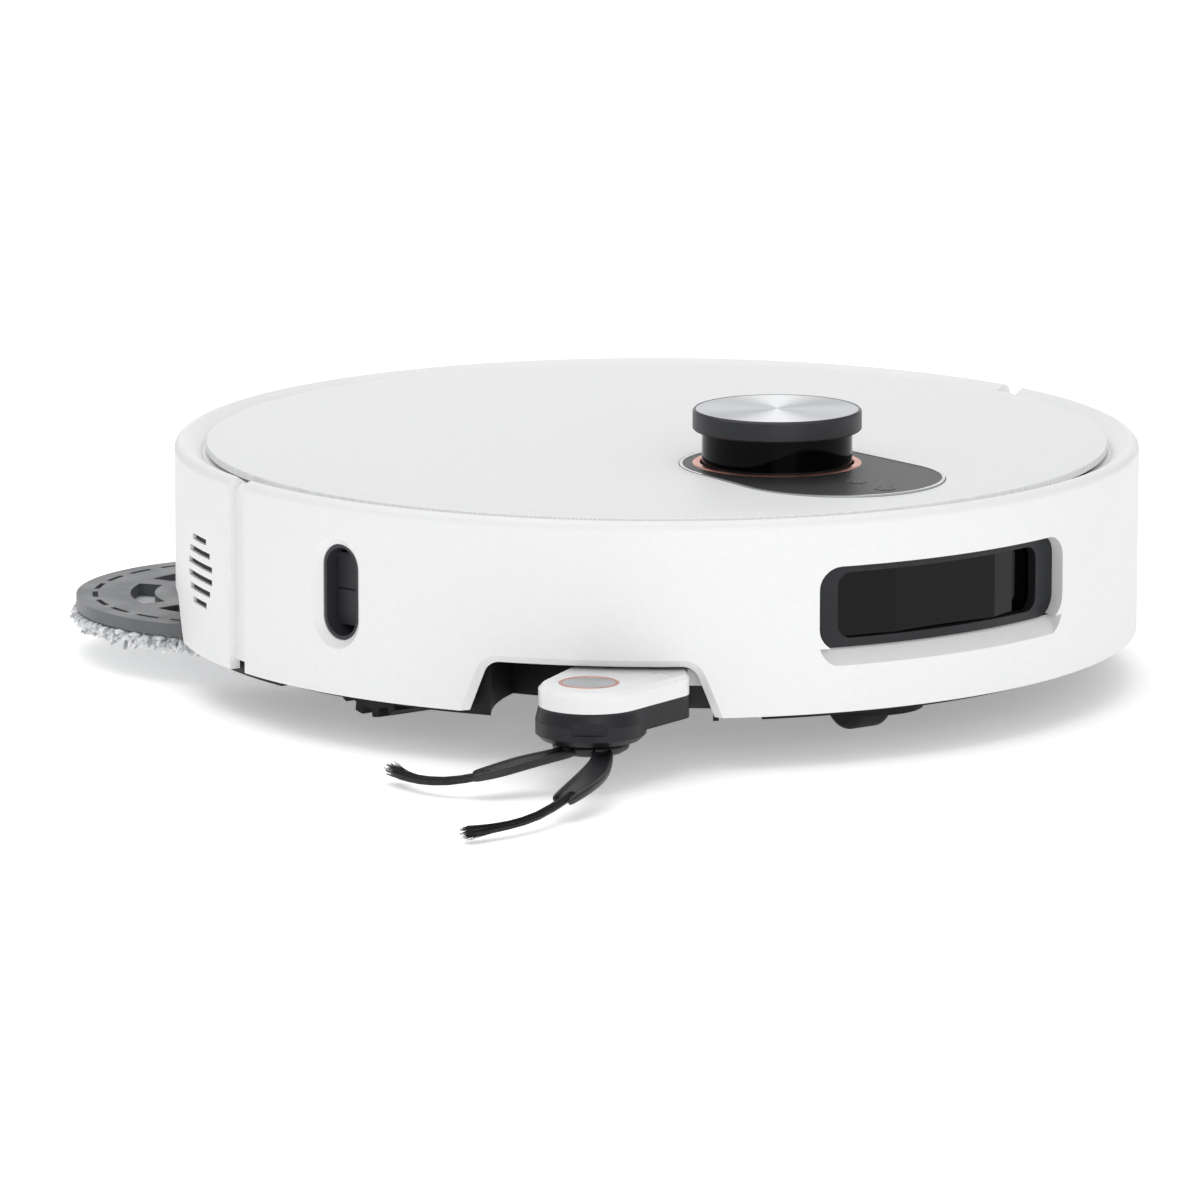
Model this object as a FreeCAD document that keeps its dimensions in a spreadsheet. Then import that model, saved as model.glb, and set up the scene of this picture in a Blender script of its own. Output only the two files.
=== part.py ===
"""Round floor-cleaning robot: vacuum, two spinning mops, swing-out side brush and mop, rising laser turret.

Frame: millimetres, origin on the floor under the body's axis, +Z up, the front of the robot is -Y,
so the robot's own right-hand side is -X.  Bearings are in degrees from the front, positive towards -X.
"""
import FreeCAD, Part
import math
import os
import re
import Sketcher

Vector = FreeCAD.Vector
Placement = FreeCAD.Placement
Rotation = FreeCAD.Rotation
UP = Vector(0, 0, 1)

DIMENSIONS = [
    # alias, value, meaning
    ("body_radius", 175, "outer radius of the round body"),
    ("body_top", 87, "height of the rim's crest"),
    ("shell_wall", 4, "wall of bumper and rear shell"),
    ("shell_bottom", 18.5, "height of the shells' lower edge"),
    ("crest_round", 3.6, "rounding of the rim's outer corner"),
    ("valley_radius", 164.8, "foot of the rim's inner slope"),
    ("flange_top", 82.3, "flange that tucks under the cover"),
    ("flange_thick", 2.5, "thickness of that flange"),
    ("flange_radius", 162, "inner radius of that flange"),
    ("bumper_half", 91.5, "bearing where the bumper ends"),
    ("rear_half", 95, "bearing where the rear shell starts"),
    ("chassis_radius", 167.5, "radius of the chassis wall"),
    ("chassis_bottom", 16, "height of the underside"),
    ("chassis_floor", 3.5, "thickness of the floor plate"),
    ("chassis_wall", 3, "thickness of walls"),
    ("deck_radius", 157, "radius of the deck"),
    ("deck_under", 79.6, "underside of the deck"),
    ("deck_top", 83.6, "top of the deck"),
    ("cover_radius", 163.5, "radius of the lift-off cover"),
    ("cover_under", 83.8, "underside of the cover"),
    ("cover_edge", 86.3, "top of the cover at its edge"),
    ("cover_crown", 1.7, "rise of the cover from its edge to its middle"),
    ("turret_y", -74, "turret axis, Y"),
    ("turret_cap_radius", 30.1, "radius of the turret's cap"),
    ("turret_window_radius", 26.8, "radius of the turret's window"),
    ("turret_window_foot", 88.4, "lower edge of the window"),
    ("turret_cap_under", 99.8, "underside of the cap"),
    ("turret_top", 107.2, "top of the raised turret"),
    ("turret_tube_foot", 58, "bottom of the lifting tube"),
    ("panel_back_y", -77, "centre of the panel's rear arc, Y"),
    ("panel_back_radius", 36.5, "radius of the panel's rear arc"),
    ("panel_front_y", -110, "centre of the panel's front arc, Y"),
    ("panel_front_radius", 38, "radius of the panel's front arc"),
    ("panel_top", 87.7, "top of the control panel"),
    ("button_radius", 3.6, "radius of a button"),
    ("window_bearing", -1.3, "bearing of the front window's middle"),
    ("window_half", 54, "half width of the front window's opening"),
    ("window_low", 40, "lower edge of that opening"),
    ("window_high", 69.6, "upper edge of that opening"),
    ("window_corner", 8, "corner radius of that opening"),
    ("window_sill", 5.8, "height of the sloping sill under the opening"),
    ("window_depth", 6.5, "depth of the recess at the opening"),
    ("notch_bearing", 43, "bearing of the side brush notch"),
    ("notch_half_low", 42.6, "half width of the notch at its foot"),
    ("notch_half_high", 35.8, "half width of the notch at its top"),
    ("notch_top", 36.2, "top of the notch"),
    ("sensor_bearing", 75, "bearing of the wall sensor"),
    ("sensor_z", 54.5, "height of the wall sensor"),
    ("sensor_radius", 8.2, "end radius of its stadium outline"),
    ("sensor_reach", 8.8, "half distance between its two end arcs"),
    ("vent_bearing", 104, "bearing of the exhaust slots"),
    ("vent_top", 60.2, "height of the top slot"),
    ("vent_pitch", 4.6, "pitch of the slots"),
    ("vent_height", 2.2, "height of a slot"),
    ("arch_bearing", 140, "bearing of the mop arch"),
    ("arch_half_low", 82, "half width of the arch at its foot"),
    ("arch_half_high", 71, "half width of the arch at its top"),
    ("arch_top", 33.5, "top of the arch"),
    ("arm_pivot_x", -67, "pivot of the side brush arm, X"),
    ("arm_pivot_y", -141, "pivot of the side brush arm, Y"),
    ("pod_x", -131, "axis of the side brush, X"),
    ("pod_y", -146, "axis of the side brush, Y"),
    ("pod_radius", 18, "radius of the arm's outer end"),
    ("elbow_x", -90, "elbow of the arm, X"),
    ("elbow_y", -117, "elbow of the arm, Y"),
    ("elbow_radius", 15.5, "radius of the arm at the elbow"),
    ("heel_x", -99.9, "the arm's front corner, X"),
    ("heel_y", -146.4, "the arm's front corner, Y"),
    ("heel_radius", 8, "radius of the arm at that corner"),
    ("arm_belly", 20, "underside of the arm away from its outer end"),
    ("arm_hub_radius", 11, "radius of the arm round its pivot"),
    ("arm_bottom", 16.3, "underside of the arm"),
    ("arm_seam", 28, "seam between the arm's two halves"),
    ("arm_top", 35, "top of the arm"),
    ("arm_bay_top", 39.5, "ceiling of the arm's bay"),
    ("arm_pin_radius", 4, "radius of the arm's pivot pin"),
    ("arm_swing", 44, "how far the arm folds in, degrees"),
    ("brush_hub_radius", 13.5, "radius of the side brush's hub"),
    ("wheel_y", -8, "drive wheel axis, Y"),
    ("wheel_radius", 35, "radius of the drive wheel over its lugs"),
    ("wheel_inner", 105, "inner face of the drive wheel, |X|"),
    ("wheel_outer", 131.5, "outer face of the drive wheel, |X|"),
    ("wheel_lugs", 20, "number of lugs in each of the two rows"),
    ("wheel_bay_top", 74, "ceiling of the wheel bay"),
    ("axle_radius", 4, "radius of the axles"),
    ("swing_y", 22, "suspension pivot, Y"),
    ("swing_z", 38, "suspension pivot, Z"),
    ("caster_y", -128, "caster's swivel axis, Y"),
    ("caster_trail", 5, "trail of the caster wheel"),
    ("caster_radius", 12.5, "radius of the caster wheel"),
    ("caster_pocket", 24, "radius of the caster's pocket"),
    ("roller_y", -52.5, "main brush axis, Y"),
    ("roller_z", 19, "main brush axis, Z"),
    ("roller_radius", 18, "radius of the main brush over its fins"),
    ("roller_half", 82, "half length of the main brush"),
    ("roller_fins", 8, "number of fins"),
    ("mop_x", 72.5, "retracted mop axis, |X|"),
    ("mop_y", 96, "retracted mop axis, Y"),
    ("mop_out_x", -99, "axis of the swung-out mop, X"),
    ("mop_out_y", 113, "axis of the swung-out mop, Y"),
    ("mop_pivot_x", -115.5, "pivot of the mop arm, X"),
    ("mop_pivot_y", 58.2, "pivot of the mop arm, Y"),
    ("mop_plate_radius", 68, "radius of the mop plate"),
    ("mop_plate_top", 22, "top of the lifted mop plate"),
    ("mop_plate_under", 17.4, "underside of the lifted mop plate"),
    ("mop_pad_radius", 70.5, "radius of the mop pad"),
    ("mop_pad_under", 11.3, "underside of the lifted mop pad"),
    ("mop_bay_radius", 73, "radius of a mop bay"),
    ("mop_bay_top", 40, "ceiling of the mop bays"),
    ("mop_motor_radius", 20, "radius of a mop's gear motor"),
    ("contact_z", 36, "height of the charging contacts' middle"),
    ("contact_x", 17, "charging contact's middle, |X|"),
    ("gap", 0.3, "clearance between pieces that move past each other"),
    ("fit", 0.06, "radial clearance of a shaft in its hole"),
]
ALIASES = {row[0] for row in DIMENSIONS}

doc = FreeCAD.newDocument("floor_robot")
sheet = doc.addObject("Spreadsheet::Sheet", "dims")
for line, (alias, value, meaning) in enumerate(DIMENSIONS, start=1):
    sheet.set("A%d" % line, alias)
    sheet.set("B%d" % line, str(value))
    sheet.set("C%d" % line, meaning)
    sheet.setAlias("B%d" % line, alias)
doc.recompute()

nodes = {}


# ---------------------------------------------------------------- helpers

def size(expression):
    """The number behind an expression of the sheet's aliases."""
    return float(sheet.evalExpression(str(expression)))


def bind(item, prop, expression):
    """Bind a property to an expression of the sheet's aliases."""
    def in_sheet(match):
        word = match.group()
        return "dims." + word if word in ALIASES else word
    item.setExpression(prop, re.sub(r"[a-z_][a-z_0-9]*", in_sheet, str(expression)))


def node(label, item):
    """Register a finished sub-part under its node name."""
    item.Label = label
    nodes[label] = item
    return item


def bearing(degrees, radius, z=0.0):
    """Point at a bearing from the front, positive towards the robot's right."""
    turn = math.radians(degrees)
    return Vector(-radius * math.sin(turn), -radius * math.cos(turn), z)


def set_base(item, x=None, y=None, z=None):
    """Bind the parts of a placement's position that are given."""
    for name, expression in (("x", x), ("y", y), ("z", z)):
        if expression is not None:
            bind(item, ".Placement.Base." + name, expression)
    return item


def box(x0, x1, y0, y1, z0, z1):
    item = doc.addObject("Part::Box", "box")
    bind(item, "Length", "(%s) - (%s)" % (x1, x0))
    bind(item, "Width", "(%s) - (%s)" % (y1, y0))
    bind(item, "Height", "(%s) - (%s)" % (z1, z0))
    return set_base(item, x0, y0, z0)


def cylinder(x, y, z0, z1, radius, start=0, sweep=360):
    """Upright cylinder or sector, its sweep counted in plan from the +X direction."""
    item = doc.addObject("Part::Cylinder", "cylinder")
    bind(item, "Radius", radius)
    bind(item, "Height", "(%s) - (%s)" % (z1, z0))
    item.Angle = sweep
    item.Placement = Placement(Vector(), Rotation(UP, start))
    return set_base(item, x, y, z0)


def rod_x(x0, x1, y, z, radius):
    """Cylinder along X."""
    item = doc.addObject("Part::Cylinder", "rod")
    bind(item, "Radius", radius)
    bind(item, "Height", "(%s) - (%s)" % (x1, x0))
    item.Placement = Placement(Vector(), Rotation(Vector(0, 1, 0), 90))
    return set_base(item, x0, y, z)


def taper(start, end, start_radius, end_radius):
    """Tapered round rod between two points."""
    item = doc.addObject("Part::Cone", "taper")
    item.Radius1 = start_radius
    item.Radius2 = end_radius
    item.Height = (end - start).Length
    item.Placement = Placement(start, Rotation(UP, end - start))
    return item


def faced(tool, degrees):
    """Turn a tool that was made at the front to a bearing."""
    item = group(tool)
    item.Placement = Placement(Vector(), Rotation(UP, -degrees))
    return item


def join(*items):
    if len(items) == 1:
        return items[0]
    item = doc.addObject("Part::MultiFuse", "join")
    item.Shapes = list(items)
    return item


def cut(base, *tools):
    item = doc.addObject("Part::Cut", "cut")
    item.Base = base
    item.Tool = join(*tools)
    return item


def common(base, tool):
    item = doc.addObject("Part::Common", "common")
    item.Base = base
    item.Tool = tool
    return item


def group(*items):
    """Separate solids in one node."""
    item = doc.addObject("Part::Compound", "group")
    item.Links = list(items)
    return item


def eased(kind, base, first, second, wanted):
    """Fillet or chamfer the edges for which wanted(edge) holds."""
    doc.recompute()
    item = doc.addObject(kind, "eased")
    item.Base = base
    picked = [index for index, edge in enumerate(base.Shape.Edges, start=1) if wanted(edge)]
    if not picked:
        raise RuntimeError("no edge to ease")
    item.Edges = [(index, first, second) for index in picked]
    return item


def rounded(base, radius, wanted):
    return eased("Part::Fillet", base, radius, radius, wanted)


def chamfered(base, first, second, wanted):
    return eased("Part::Chamfer", base, first, second, wanted)


def along(axis):
    """Test for straight edges along an axis."""
    def wanted(edge):
        if not isinstance(edge.Curve, (Part.Line, Part.LineSegment)):
            return False
        return abs(edge.tangentAt(edge.FirstParameter).dot(axis)) > 0.999
    return wanted


def at_height(z, smallest=0.0):
    """Test for edges that lie level at a height and are at least so long."""
    def wanted(edge):
        bounds = edge.BoundBox
        level = abs(bounds.ZMin - z) < 1e-3 and abs(bounds.ZMax - z) < 1e-3
        return level and edge.Length > smallest
    return wanted


def sketch_on(body, role):
    plane = [item for item in body.Origin.OriginFeatures if item.Role == role][0]
    sketch = body.newObject("Sketcher::SketchObject", "sketch")
    sketch.AttachmentSupport = (plane, [""])
    sketch.MapMode = "FlatFace"
    return sketch


def pin_point(sketch, geometry, place, x, y):
    """Fix a sketch point to two sheet expressions."""
    for kind, axis, expression in (("DistanceX", -2, x), ("DistanceY", -1, y)):
        if size(expression) == 0:
            sketch.addConstraint(Sketcher.Constraint("PointOnObject", geometry, place, axis))
            continue
        number = sketch.addConstraint(Sketcher.Constraint(kind, geometry, place, size(expression)))
        bind(sketch, "Constraints[%d]" % number, expression)


def outline(sketch, points):
    """Closed polygon through points given as pairs of sheet expressions."""
    corners = [Vector(size(x), size(y), 0) for x, y in points]
    count = len(corners)
    for index in range(count):
        segment = Part.LineSegment(corners[index], corners[(index + 1) % count])
        sketch.addGeometry(segment, False)
    for index in range(count):
        link = Sketcher.Constraint("Coincident", index, 2, (index + 1) % count, 1)
        sketch.addConstraint(link)
    for index, (x, y) in enumerate(points):
        pin_point(sketch, index, 1, x, y)


def turned(points, sweep=360, middle=0):
    """Body turned about Z from a profile of (radius, height), centred on a bearing."""
    body = doc.addObject("PartDesign::Body", "turned")
    sketch = sketch_on(body, "XZ_Plane")
    outline(sketch, points)
    feature = body.newObject("PartDesign::Revolution", "revolution")
    feature.Profile = sketch
    feature.ReferenceAxis = (sketch, ["V_Axis"])
    feature.Midplane = True
    bind(feature, "Angle", sweep)
    body.Placement = Placement(Vector(), Rotation(UP, -90 - middle))
    return body


def padded(points, height, role="XY_Plane"):
    """Body padded from a polygon."""
    body = doc.addObject("PartDesign::Body", "padded")
    sketch = sketch_on(body, role)
    outline(sketch, points)
    feature = body.newObject("PartDesign::Pad", "pad")
    feature.Profile = sketch
    bind(feature, "Length", height)
    return body


def capsule(first, second, z0, z1):
    """Upright prism round two circles (x, y, radius), joined by their tangents."""
    body = doc.addObject("PartDesign::Body", "capsule")
    sketch = sketch_on(body, "XY_Plane")
    here = Vector(size(first[0]), size(first[1]), 0)
    there = Vector(size(second[0]), size(second[1]), 0)
    small, large = size(first[2]), size(second[2])
    course = math.atan2(there.y - here.y, there.x - here.x)
    lean = math.acos((small - large) / (there - here).Length)

    def rim(centre, radius, angle):
        return centre + Vector(radius * math.cos(angle), radius * math.sin(angle), 0)
    far = Part.ArcOfCircle(Part.Circle(there, UP, large), course - lean, course + lean)
    near = Part.ArcOfCircle(Part.Circle(here, UP, small), course + lean, course - lean + 2 * math.pi)
    left = Part.LineSegment(rim(there, large, course + lean), rim(here, small, course + lean))
    right = Part.LineSegment(rim(here, small, course - lean), rim(there, large, course - lean))
    for piece in (far, left, near, right):
        sketch.addGeometry(piece, False)
    for index in range(4):
        sketch.addConstraint(Sketcher.Constraint("Tangent", index, 2, (index + 1) % 4, 1))
    for index, circle in ((0, second), (2, first)):
        number = sketch.addConstraint(Sketcher.Constraint("Radius", index, size(circle[2])))
        bind(sketch, "Constraints[%d]" % number, circle[2])
        pin_point(sketch, index, 3, circle[0], circle[1])
    feature = body.newObject("PartDesign::Pad", "pad")
    feature.Profile = sketch
    bind(feature, "Length", "(%s) - (%s)" % (z1, z0))
    return set_base(body, z=z0)


def front_slab(half, low, high, corner, depth=40):
    """Rounded rectangle that cuts through the front wall along Y."""
    block = box("-(%s)" % half, half, "-body_radius - 5", "-body_radius - 5 + %s" % depth, low, high)
    return rounded(block, size(corner), along(Vector(0, 1, 0)))


def trapezoid_slab(half_low, half_high, top, corner, depth):
    """Notch tool: open at the foot, slanted sides, rounded top corners, along Y at the front."""
    foot = 0
    lean = "((%s) - (%s)) / ((%s) - shell_bottom)" % (half_low, half_high, top)
    half_foot = "(%s) + %s * (shell_bottom - %s)" % (half_low, lean, foot)
    points = [("-(%s)" % half_foot, foot), (half_foot, foot), (half_high, top), ("-(%s)" % half_high, top)]
    body = padded(points, depth, "XZ_Plane")
    set_base(body, y="-body_radius + %s - 5" % depth)

    def top_corner(edge):
        return along(Vector(0, 1, 0))(edge) and edge.BoundBox.ZMin > size(top) - 1
    return rounded(body, corner, top_corner)


# ---------------------------------------------------------------- outer shells

def rim_profile(low, inner_flange):
    """Section of bumper and rear shell: wall, rounded crest, inner slope and tucked flange."""
    inner = "body_radius - shell_wall"
    return [
        (inner, low),
        ("body_radius", low),
        ("body_radius", "body_top"),
        ("body_radius - crest_round", "body_top"),
        ("valley_radius", "flange_top"),
        (inner_flange, "flange_top"),
        (inner_flange, "flange_top - flange_thick"),
        ("valley_radius", "flange_top - flange_thick"),
        (inner, "flange_top - flange_thick - 5"),
    ]


def crest_rounded(shell):
    """Round the outer top corner of a shell."""
    def wanted(edge):
        bounds = edge.BoundBox
        if abs(bounds.ZMin - size("body_top")) > 1e-3 or abs(bounds.ZMax - bounds.ZMin) > 1e-3:
            return False
        curve = edge.Curve
        return isinstance(curve, Part.Circle) and abs(curve.Radius - size("body_radius")) < 1e-3
    return rounded(shell, size("crest_round") - 0.4, wanted)


def on_outer_wall(edge):
    """True for edges that lie on the body's outer cylinder, away from its own rims."""
    radius = size("body_radius")
    for share in (0.1, 0.5, 0.9):
        span = edge.LastParameter - edge.FirstParameter
        point = edge.valueAt(edge.FirstParameter + share * span)
        if abs(math.hypot(point.x, point.y) - radius) > 0.05:
            return False
    return True


def in_range(edge, degrees, half_degrees, low, high):
    """True when an edge lies within a bearing range and a height range."""
    middle = edge.valueAt((edge.FirstParameter + edge.LastParameter) / 2)
    at = math.degrees(math.atan2(-middle.x, -middle.y))
    return abs(at - degrees) < half_degrees and low < middle.z < high


def stadium(grow, near, far):
    """Upright stadium at the wall sensor's bearing, running from radius near to radius far."""
    low = rod_y_front("sensor_z - sensor_reach", "sensor_radius + %s" % grow, near, far)
    high = rod_y_front("sensor_z + sensor_reach", "sensor_radius + %s" % grow, near, far)
    half = "sensor_radius + %s" % grow
    middle = box("-(%s)" % half, half, "-(%s)" % far, "-(%s)" % near,
                 "sensor_z - sensor_reach", "sensor_z + sensor_reach")
    return faced(join(low, high, middle), size("sensor_bearing"))


def rod_y_front(z, radius, near, far):
    """Cylinder along Y at x = 0, from y = -far to y = -near."""
    item = doc.addObject("Part::Cylinder", "rod")
    bind(item, "Radius", radius)
    bind(item, "Height", "(%s) - (%s)" % (far, near))
    item.Placement = Placement(Vector(), Rotation(Vector(1, 0, 0), 90))
    return set_base(item, y="-(%s)" % near, z=z)


def window_tool():
    """Front window's recess: steep sides, straight top and a sloping sill with rounded corners."""
    opening = front_slab("window_half", "window_low", "window_high", "window_corner")
    sill = turned([("body_radius + 2", "window_low - window_sill - 1"),
                   ("body_radius + 2", "window_low + 1"),
                   ("body_radius - window_depth", "window_low + 1"),
                   ("body_radius - window_depth", "window_low")], 50)
    foot = front_slab("window_half", "window_low - window_sill", "window_high - 5", "window_corner + 1")
    return join(opening, common(sill, foot))


def make_bumper():
    shell = turned(rim_profile("shell_bottom", "flange_radius"), "2 * bumper_half")
    shell = crest_rounded(shell)
    notch = faced(trapezoid_slab("notch_half_low", "notch_half_high", "notch_top", 6, 40),
                  size("notch_bearing"))
    shell = cut(shell, notch, stadium(0, 160, 180))

    def bevelled(edge):
        if not on_outer_wall(edge):
            return False
        notch_edge = in_range(edge, size("notch_bearing"), 16, size("shell_bottom") + 1, 40)
        sensor_edge = in_range(edge, size("sensor_bearing"), 5, 30, 78)
        return notch_edge or sensor_edge
    shell = chamfered(shell, 2.6, 2.6, bevelled)
    boss = turned([("body_radius - window_depth", 30), ("body_radius - shell_wall + 0.5", 30),
                   ("body_radius - shell_wall + 0.5", 76), ("body_radius - window_depth", 76)], 44,
                  size("window_bearing"))
    return node("bumper", cut(join(shell, boss), faced(window_tool(), size("window_bearing"))))


def make_rear_shell():
    low = "shell_bottom - 0.5"
    shell = crest_rounded(turned(rim_profile(low, "flange_radius - 2"), "2 * (180 - rear_half)", 180))
    arches = []
    for side in (1, -1):
        slab = trapezoid_slab("arch_half_low", "arch_half_high", "arch_top", 5, 60)
        arches.append(faced(slab, side * size("arch_bearing")))
    slots = []
    lengths = (15, 22, 26, 26, 22, 15)
    for side in (1, -1):
        for row, length in enumerate(lengths):
            middle = "vent_top - %d * vent_pitch" % row
            slot = box(-length / 2, length / 2, -180, -165, middle + " - vent_height / 2",
                       middle + " + vent_height / 2")
            slots.append(faced(slot, side * size("vent_bearing")))
    contacts = []
    for side in (1, -1):
        contacts.append(contact_box(side, 0.1))
    shell = cut(shell, *(arches + slots + contacts))
    tongues = []
    for side in (1, -1):
        inner, outer, low, high = "chassis_radius + 0.3", "body_radius - 4.5", 21.5, "flange_top - 8"
        profile = [(inner, low), (outer, low), (outer, high), (inner, high)]
        tongues.append(turned(profile, 7, side * 92.5))
        outer = "body_radius - 2.6"
        profile = [(inner, low), (outer, low), (outer, "body_top - 4"),
                   ("body_radius - 5.5", "body_top - 2.2"),
                   ("valley_radius", "flange_top - 0.6"), ("flange_radius - 2", "flange_top - 0.6"),
                   ("flange_radius - 2", "flange_top - flange_thick"),
                   ("valley_radius", "flange_top - flange_thick"), (inner, "flange_top - flange_thick - 3")]
        tongues.append(turned(profile, 3.4, side * 94.4))
    return node("rear_shell", join(shell, *tongues))


def contact_box(side, grow):
    """Charging contact, or with some growth the pocket that holds it."""
    middle = "%d * contact_x" % side
    return box("%s - 6 - %s" % (middle, grow), "%s + 6 + %s" % (middle, grow), "body_radius - 3 - %s" % grow,
               "body_radius + 0.4 + 10 * %s" % grow, "contact_z - 9 - %s" % grow,
               "contact_z + 9 + %s" % grow)


def make_contacts():
    return node("charging_contacts", group(contact_box(1, 0), contact_box(-1, 0)))


def folded(x, y):
    """Where a point of the side brush arm goes when the arm folds in."""
    pivot = Vector(size("arm_pivot_x"), size("arm_pivot_y"), 0)
    moved = pivot + Rotation(UP, -size("arm_swing")).multVec(Vector(size(x), size(y), 0) - pivot)
    return moved.x, moved.y


def arm_bay(grow, top):
    """Space swept by the side brush arm about its pivot."""
    reach = "sqrt((pod_x - arm_pivot_x) ^ 2 + (pod_y - arm_pivot_y) ^ 2) + pod_radius + 2 + %s" % grow
    outer = cylinder("arm_pivot_x", "arm_pivot_y", "chassis_bottom - 2", top, reach,
                     121 - grow, 83 + 2 * grow)
    inner = cylinder("arm_pivot_x", "arm_pivot_y", "chassis_bottom - 2", top, "52 + %s" % grow,
                     54 - grow, 116 + 2 * grow)
    hub = cylinder("arm_pivot_x", "arm_pivot_y", "chassis_bottom - 2", top,
                   "arm_hub_radius + 2.5 + %s" % grow)
    elbow = (*folded("elbow_x", "elbow_y"), "elbow_radius + 2 + %s" % grow)
    pod = (*folded("pod_x", "pod_y"), "pod_radius + 2 + %s" % grow)
    pivot = ("arm_pivot_x", "arm_pivot_y", "arm_hub_radius + 2 + %s" % grow)
    folded_arm = [capsule(elbow, pod, "chassis_bottom - 2", top),
                  capsule(elbow, pivot, "chassis_bottom - 2", top)]
    return [outer, inner, hub] + folded_arm


def mop_bays(grow, top):
    """Space taken by both mops, with the right one's way out."""
    radius = "mop_bay_radius + %s" % grow
    left = cylinder("mop_x", "mop_y", "chassis_bottom - 2", top, radius)
    right = capsule(("-mop_x", "mop_y", radius), ("mop_out_x", "mop_out_y", radius),
                    "chassis_bottom - 2", top)
    hub = cylinder("mop_pivot_x", "mop_pivot_y", "chassis_bottom - 2", top, "16 + %s" % grow)
    return [left, right, hub]


def wheel_bay(side, grow):
    x0, x1 = ("-136 - %s" % grow, "-89 + %s" % grow) if side < 0 else ("89 - %s" % grow, "136 + %s" % grow)
    return box(x0, x1, "wheel_y - 38 - %s" % grow, "wheel_y + 38 + %s" % grow, "chassis_bottom - 2",
               "wheel_bay_top + %s" % grow)


def roller_bay(grow):
    return box("-roller_half - 6 - %s" % grow, "roller_half + 6 + %s" % grow, "roller_y - 22.5 - %s" % grow,
               "roller_y + 22.5 + %s" % grow, "chassis_bottom - 2", "roller_z + 22 + %s" % grow)


def make_chassis():
    floor = cylinder(0, 0, "chassis_bottom", "chassis_bottom + chassis_floor", "chassis_radius")
    rim = cylinder(0, 0, "chassis_bottom", "chassis_bottom + 5", 170.6, -4, 188)
    ring = [("chassis_radius - chassis_wall", "chassis_bottom"), ("chassis_radius", "chassis_bottom"),
            ("chassis_radius", "wheel_bay_top"), ("deck_radius", "wheel_bay_top"),
            ("deck_radius", "deck_under"), ("deck_radius - 5", "deck_under"),
            ("deck_radius - 5", "wheel_bay_top - chassis_wall"),
            ("chassis_radius - chassis_wall", "wheel_bay_top - chassis_wall")]
    wall = turned(ring)
    roofs = arm_bay(2, "arm_bay_top + 2") + mop_bays(2, "mop_bay_top + 2")
    roofs += [wheel_bay(1, 2), wheel_bay(-1, 2), roller_bay(2)]
    roofs.append(cylinder(0, "caster_y", "chassis_bottom", 45, "caster_pocket + 2"))
    inside = cylinder(0, 0, "chassis_bottom", "wheel_bay_top + 5", "chassis_radius")
    solid = join(floor, rim, wall, common(join(*roofs), inside))
    spaces = arm_bay(0, "arm_bay_top") + mop_bays(0, "mop_bay_top")
    spaces += [wheel_bay(1, 0), wheel_bay(-1, 0), roller_bay(0)]
    spaces.append(cylinder(0, "caster_y", "chassis_bottom - 2", 32, "caster_pocket"))
    spaces.append(faced(box(-70, 70, -172, -150, 29, 78), size("window_bearing")))
    spaces.append(stadium(4, 155, 172))
    spaces.append(cylinder(0, "caster_y", 30, 42, "axle_radius + fit"))
    return node("chassis", cut(solid, *spaces))


def make_deck():
    plate = cylinder(0, 0, "deck_under", "deck_top", "deck_radius")
    turret = cylinder(0, "turret_y", "deck_under - 5", "deck_top + 5", "turret_window_radius + 2 * gap")
    bin_hole = box(-60.4, 60.4, -30.4, 22.4, "deck_under - 5", "deck_top + 5")
    return node("deck", cut(plate, turret, bin_hole))


def make_top_cover():
    blank = turned([(0, "cover_under"), ("cover_radius", "cover_under"), ("cover_radius", "cover_edge"),
                    ("0.95 * cover_radius", "cover_edge + 0.4 * cover_crown"),
                    ("0.8 * cover_radius", "cover_edge + 0.7 * cover_crown"),
                    (0, "cover_edge + cover_crown")])
    opening = capsule((0, "panel_back_y", "panel_back_radius + gap"),
                      (0, "panel_front_y", "panel_front_radius + gap"), "cover_under - 2", "body_top + 5")
    dish = rounded(blank, 0.6, at_height(size("cover_edge"), 100))
    return node("top_cover", cut(dish, opening))


# ---------------------------------------------------------------- control panel and turret

def panel_prism(shrink, z0, z1):
    return capsule((0, "panel_back_y", "panel_back_radius - %s" % shrink),
                   (0, "panel_front_y", "panel_front_radius - %s" % shrink), z0, z1)


BUTTONS = {"home_button": -121.5, "power_button": -138}


def make_panel():
    plate = panel_prism(1.1, "deck_top", "panel_top")
    holes = [cylinder(0, "turret_y", "deck_top - 1", "panel_top + 1", "turret_window_radius + 2 * gap"),
             cylinder(0, "turret_y", "panel_top - 1.2", "panel_top + 1", "turret_cap_radius + 0.05")]
    for y in BUTTONS.values():
        holes.append(cylinder(0, y, "deck_top - 1", "panel_top + 1", "button_radius + gap / 2"))
    node("control_panel", cut(plate, *holes))
    node("panel_trim", cut(panel_prism(0, "deck_top", "panel_top + 0.15"),
                           panel_prism(1.1, "deck_top - 1", "panel_top + 1")))
    for label, y in BUTTONS.items():
        cap = cylinder(0, y, "deck_top + 1", "panel_top + 0.1", "button_radius")
        node(label, chamfered(cap, 0.2, 0.2, at_height(size("panel_top") + 0.1)))


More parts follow.
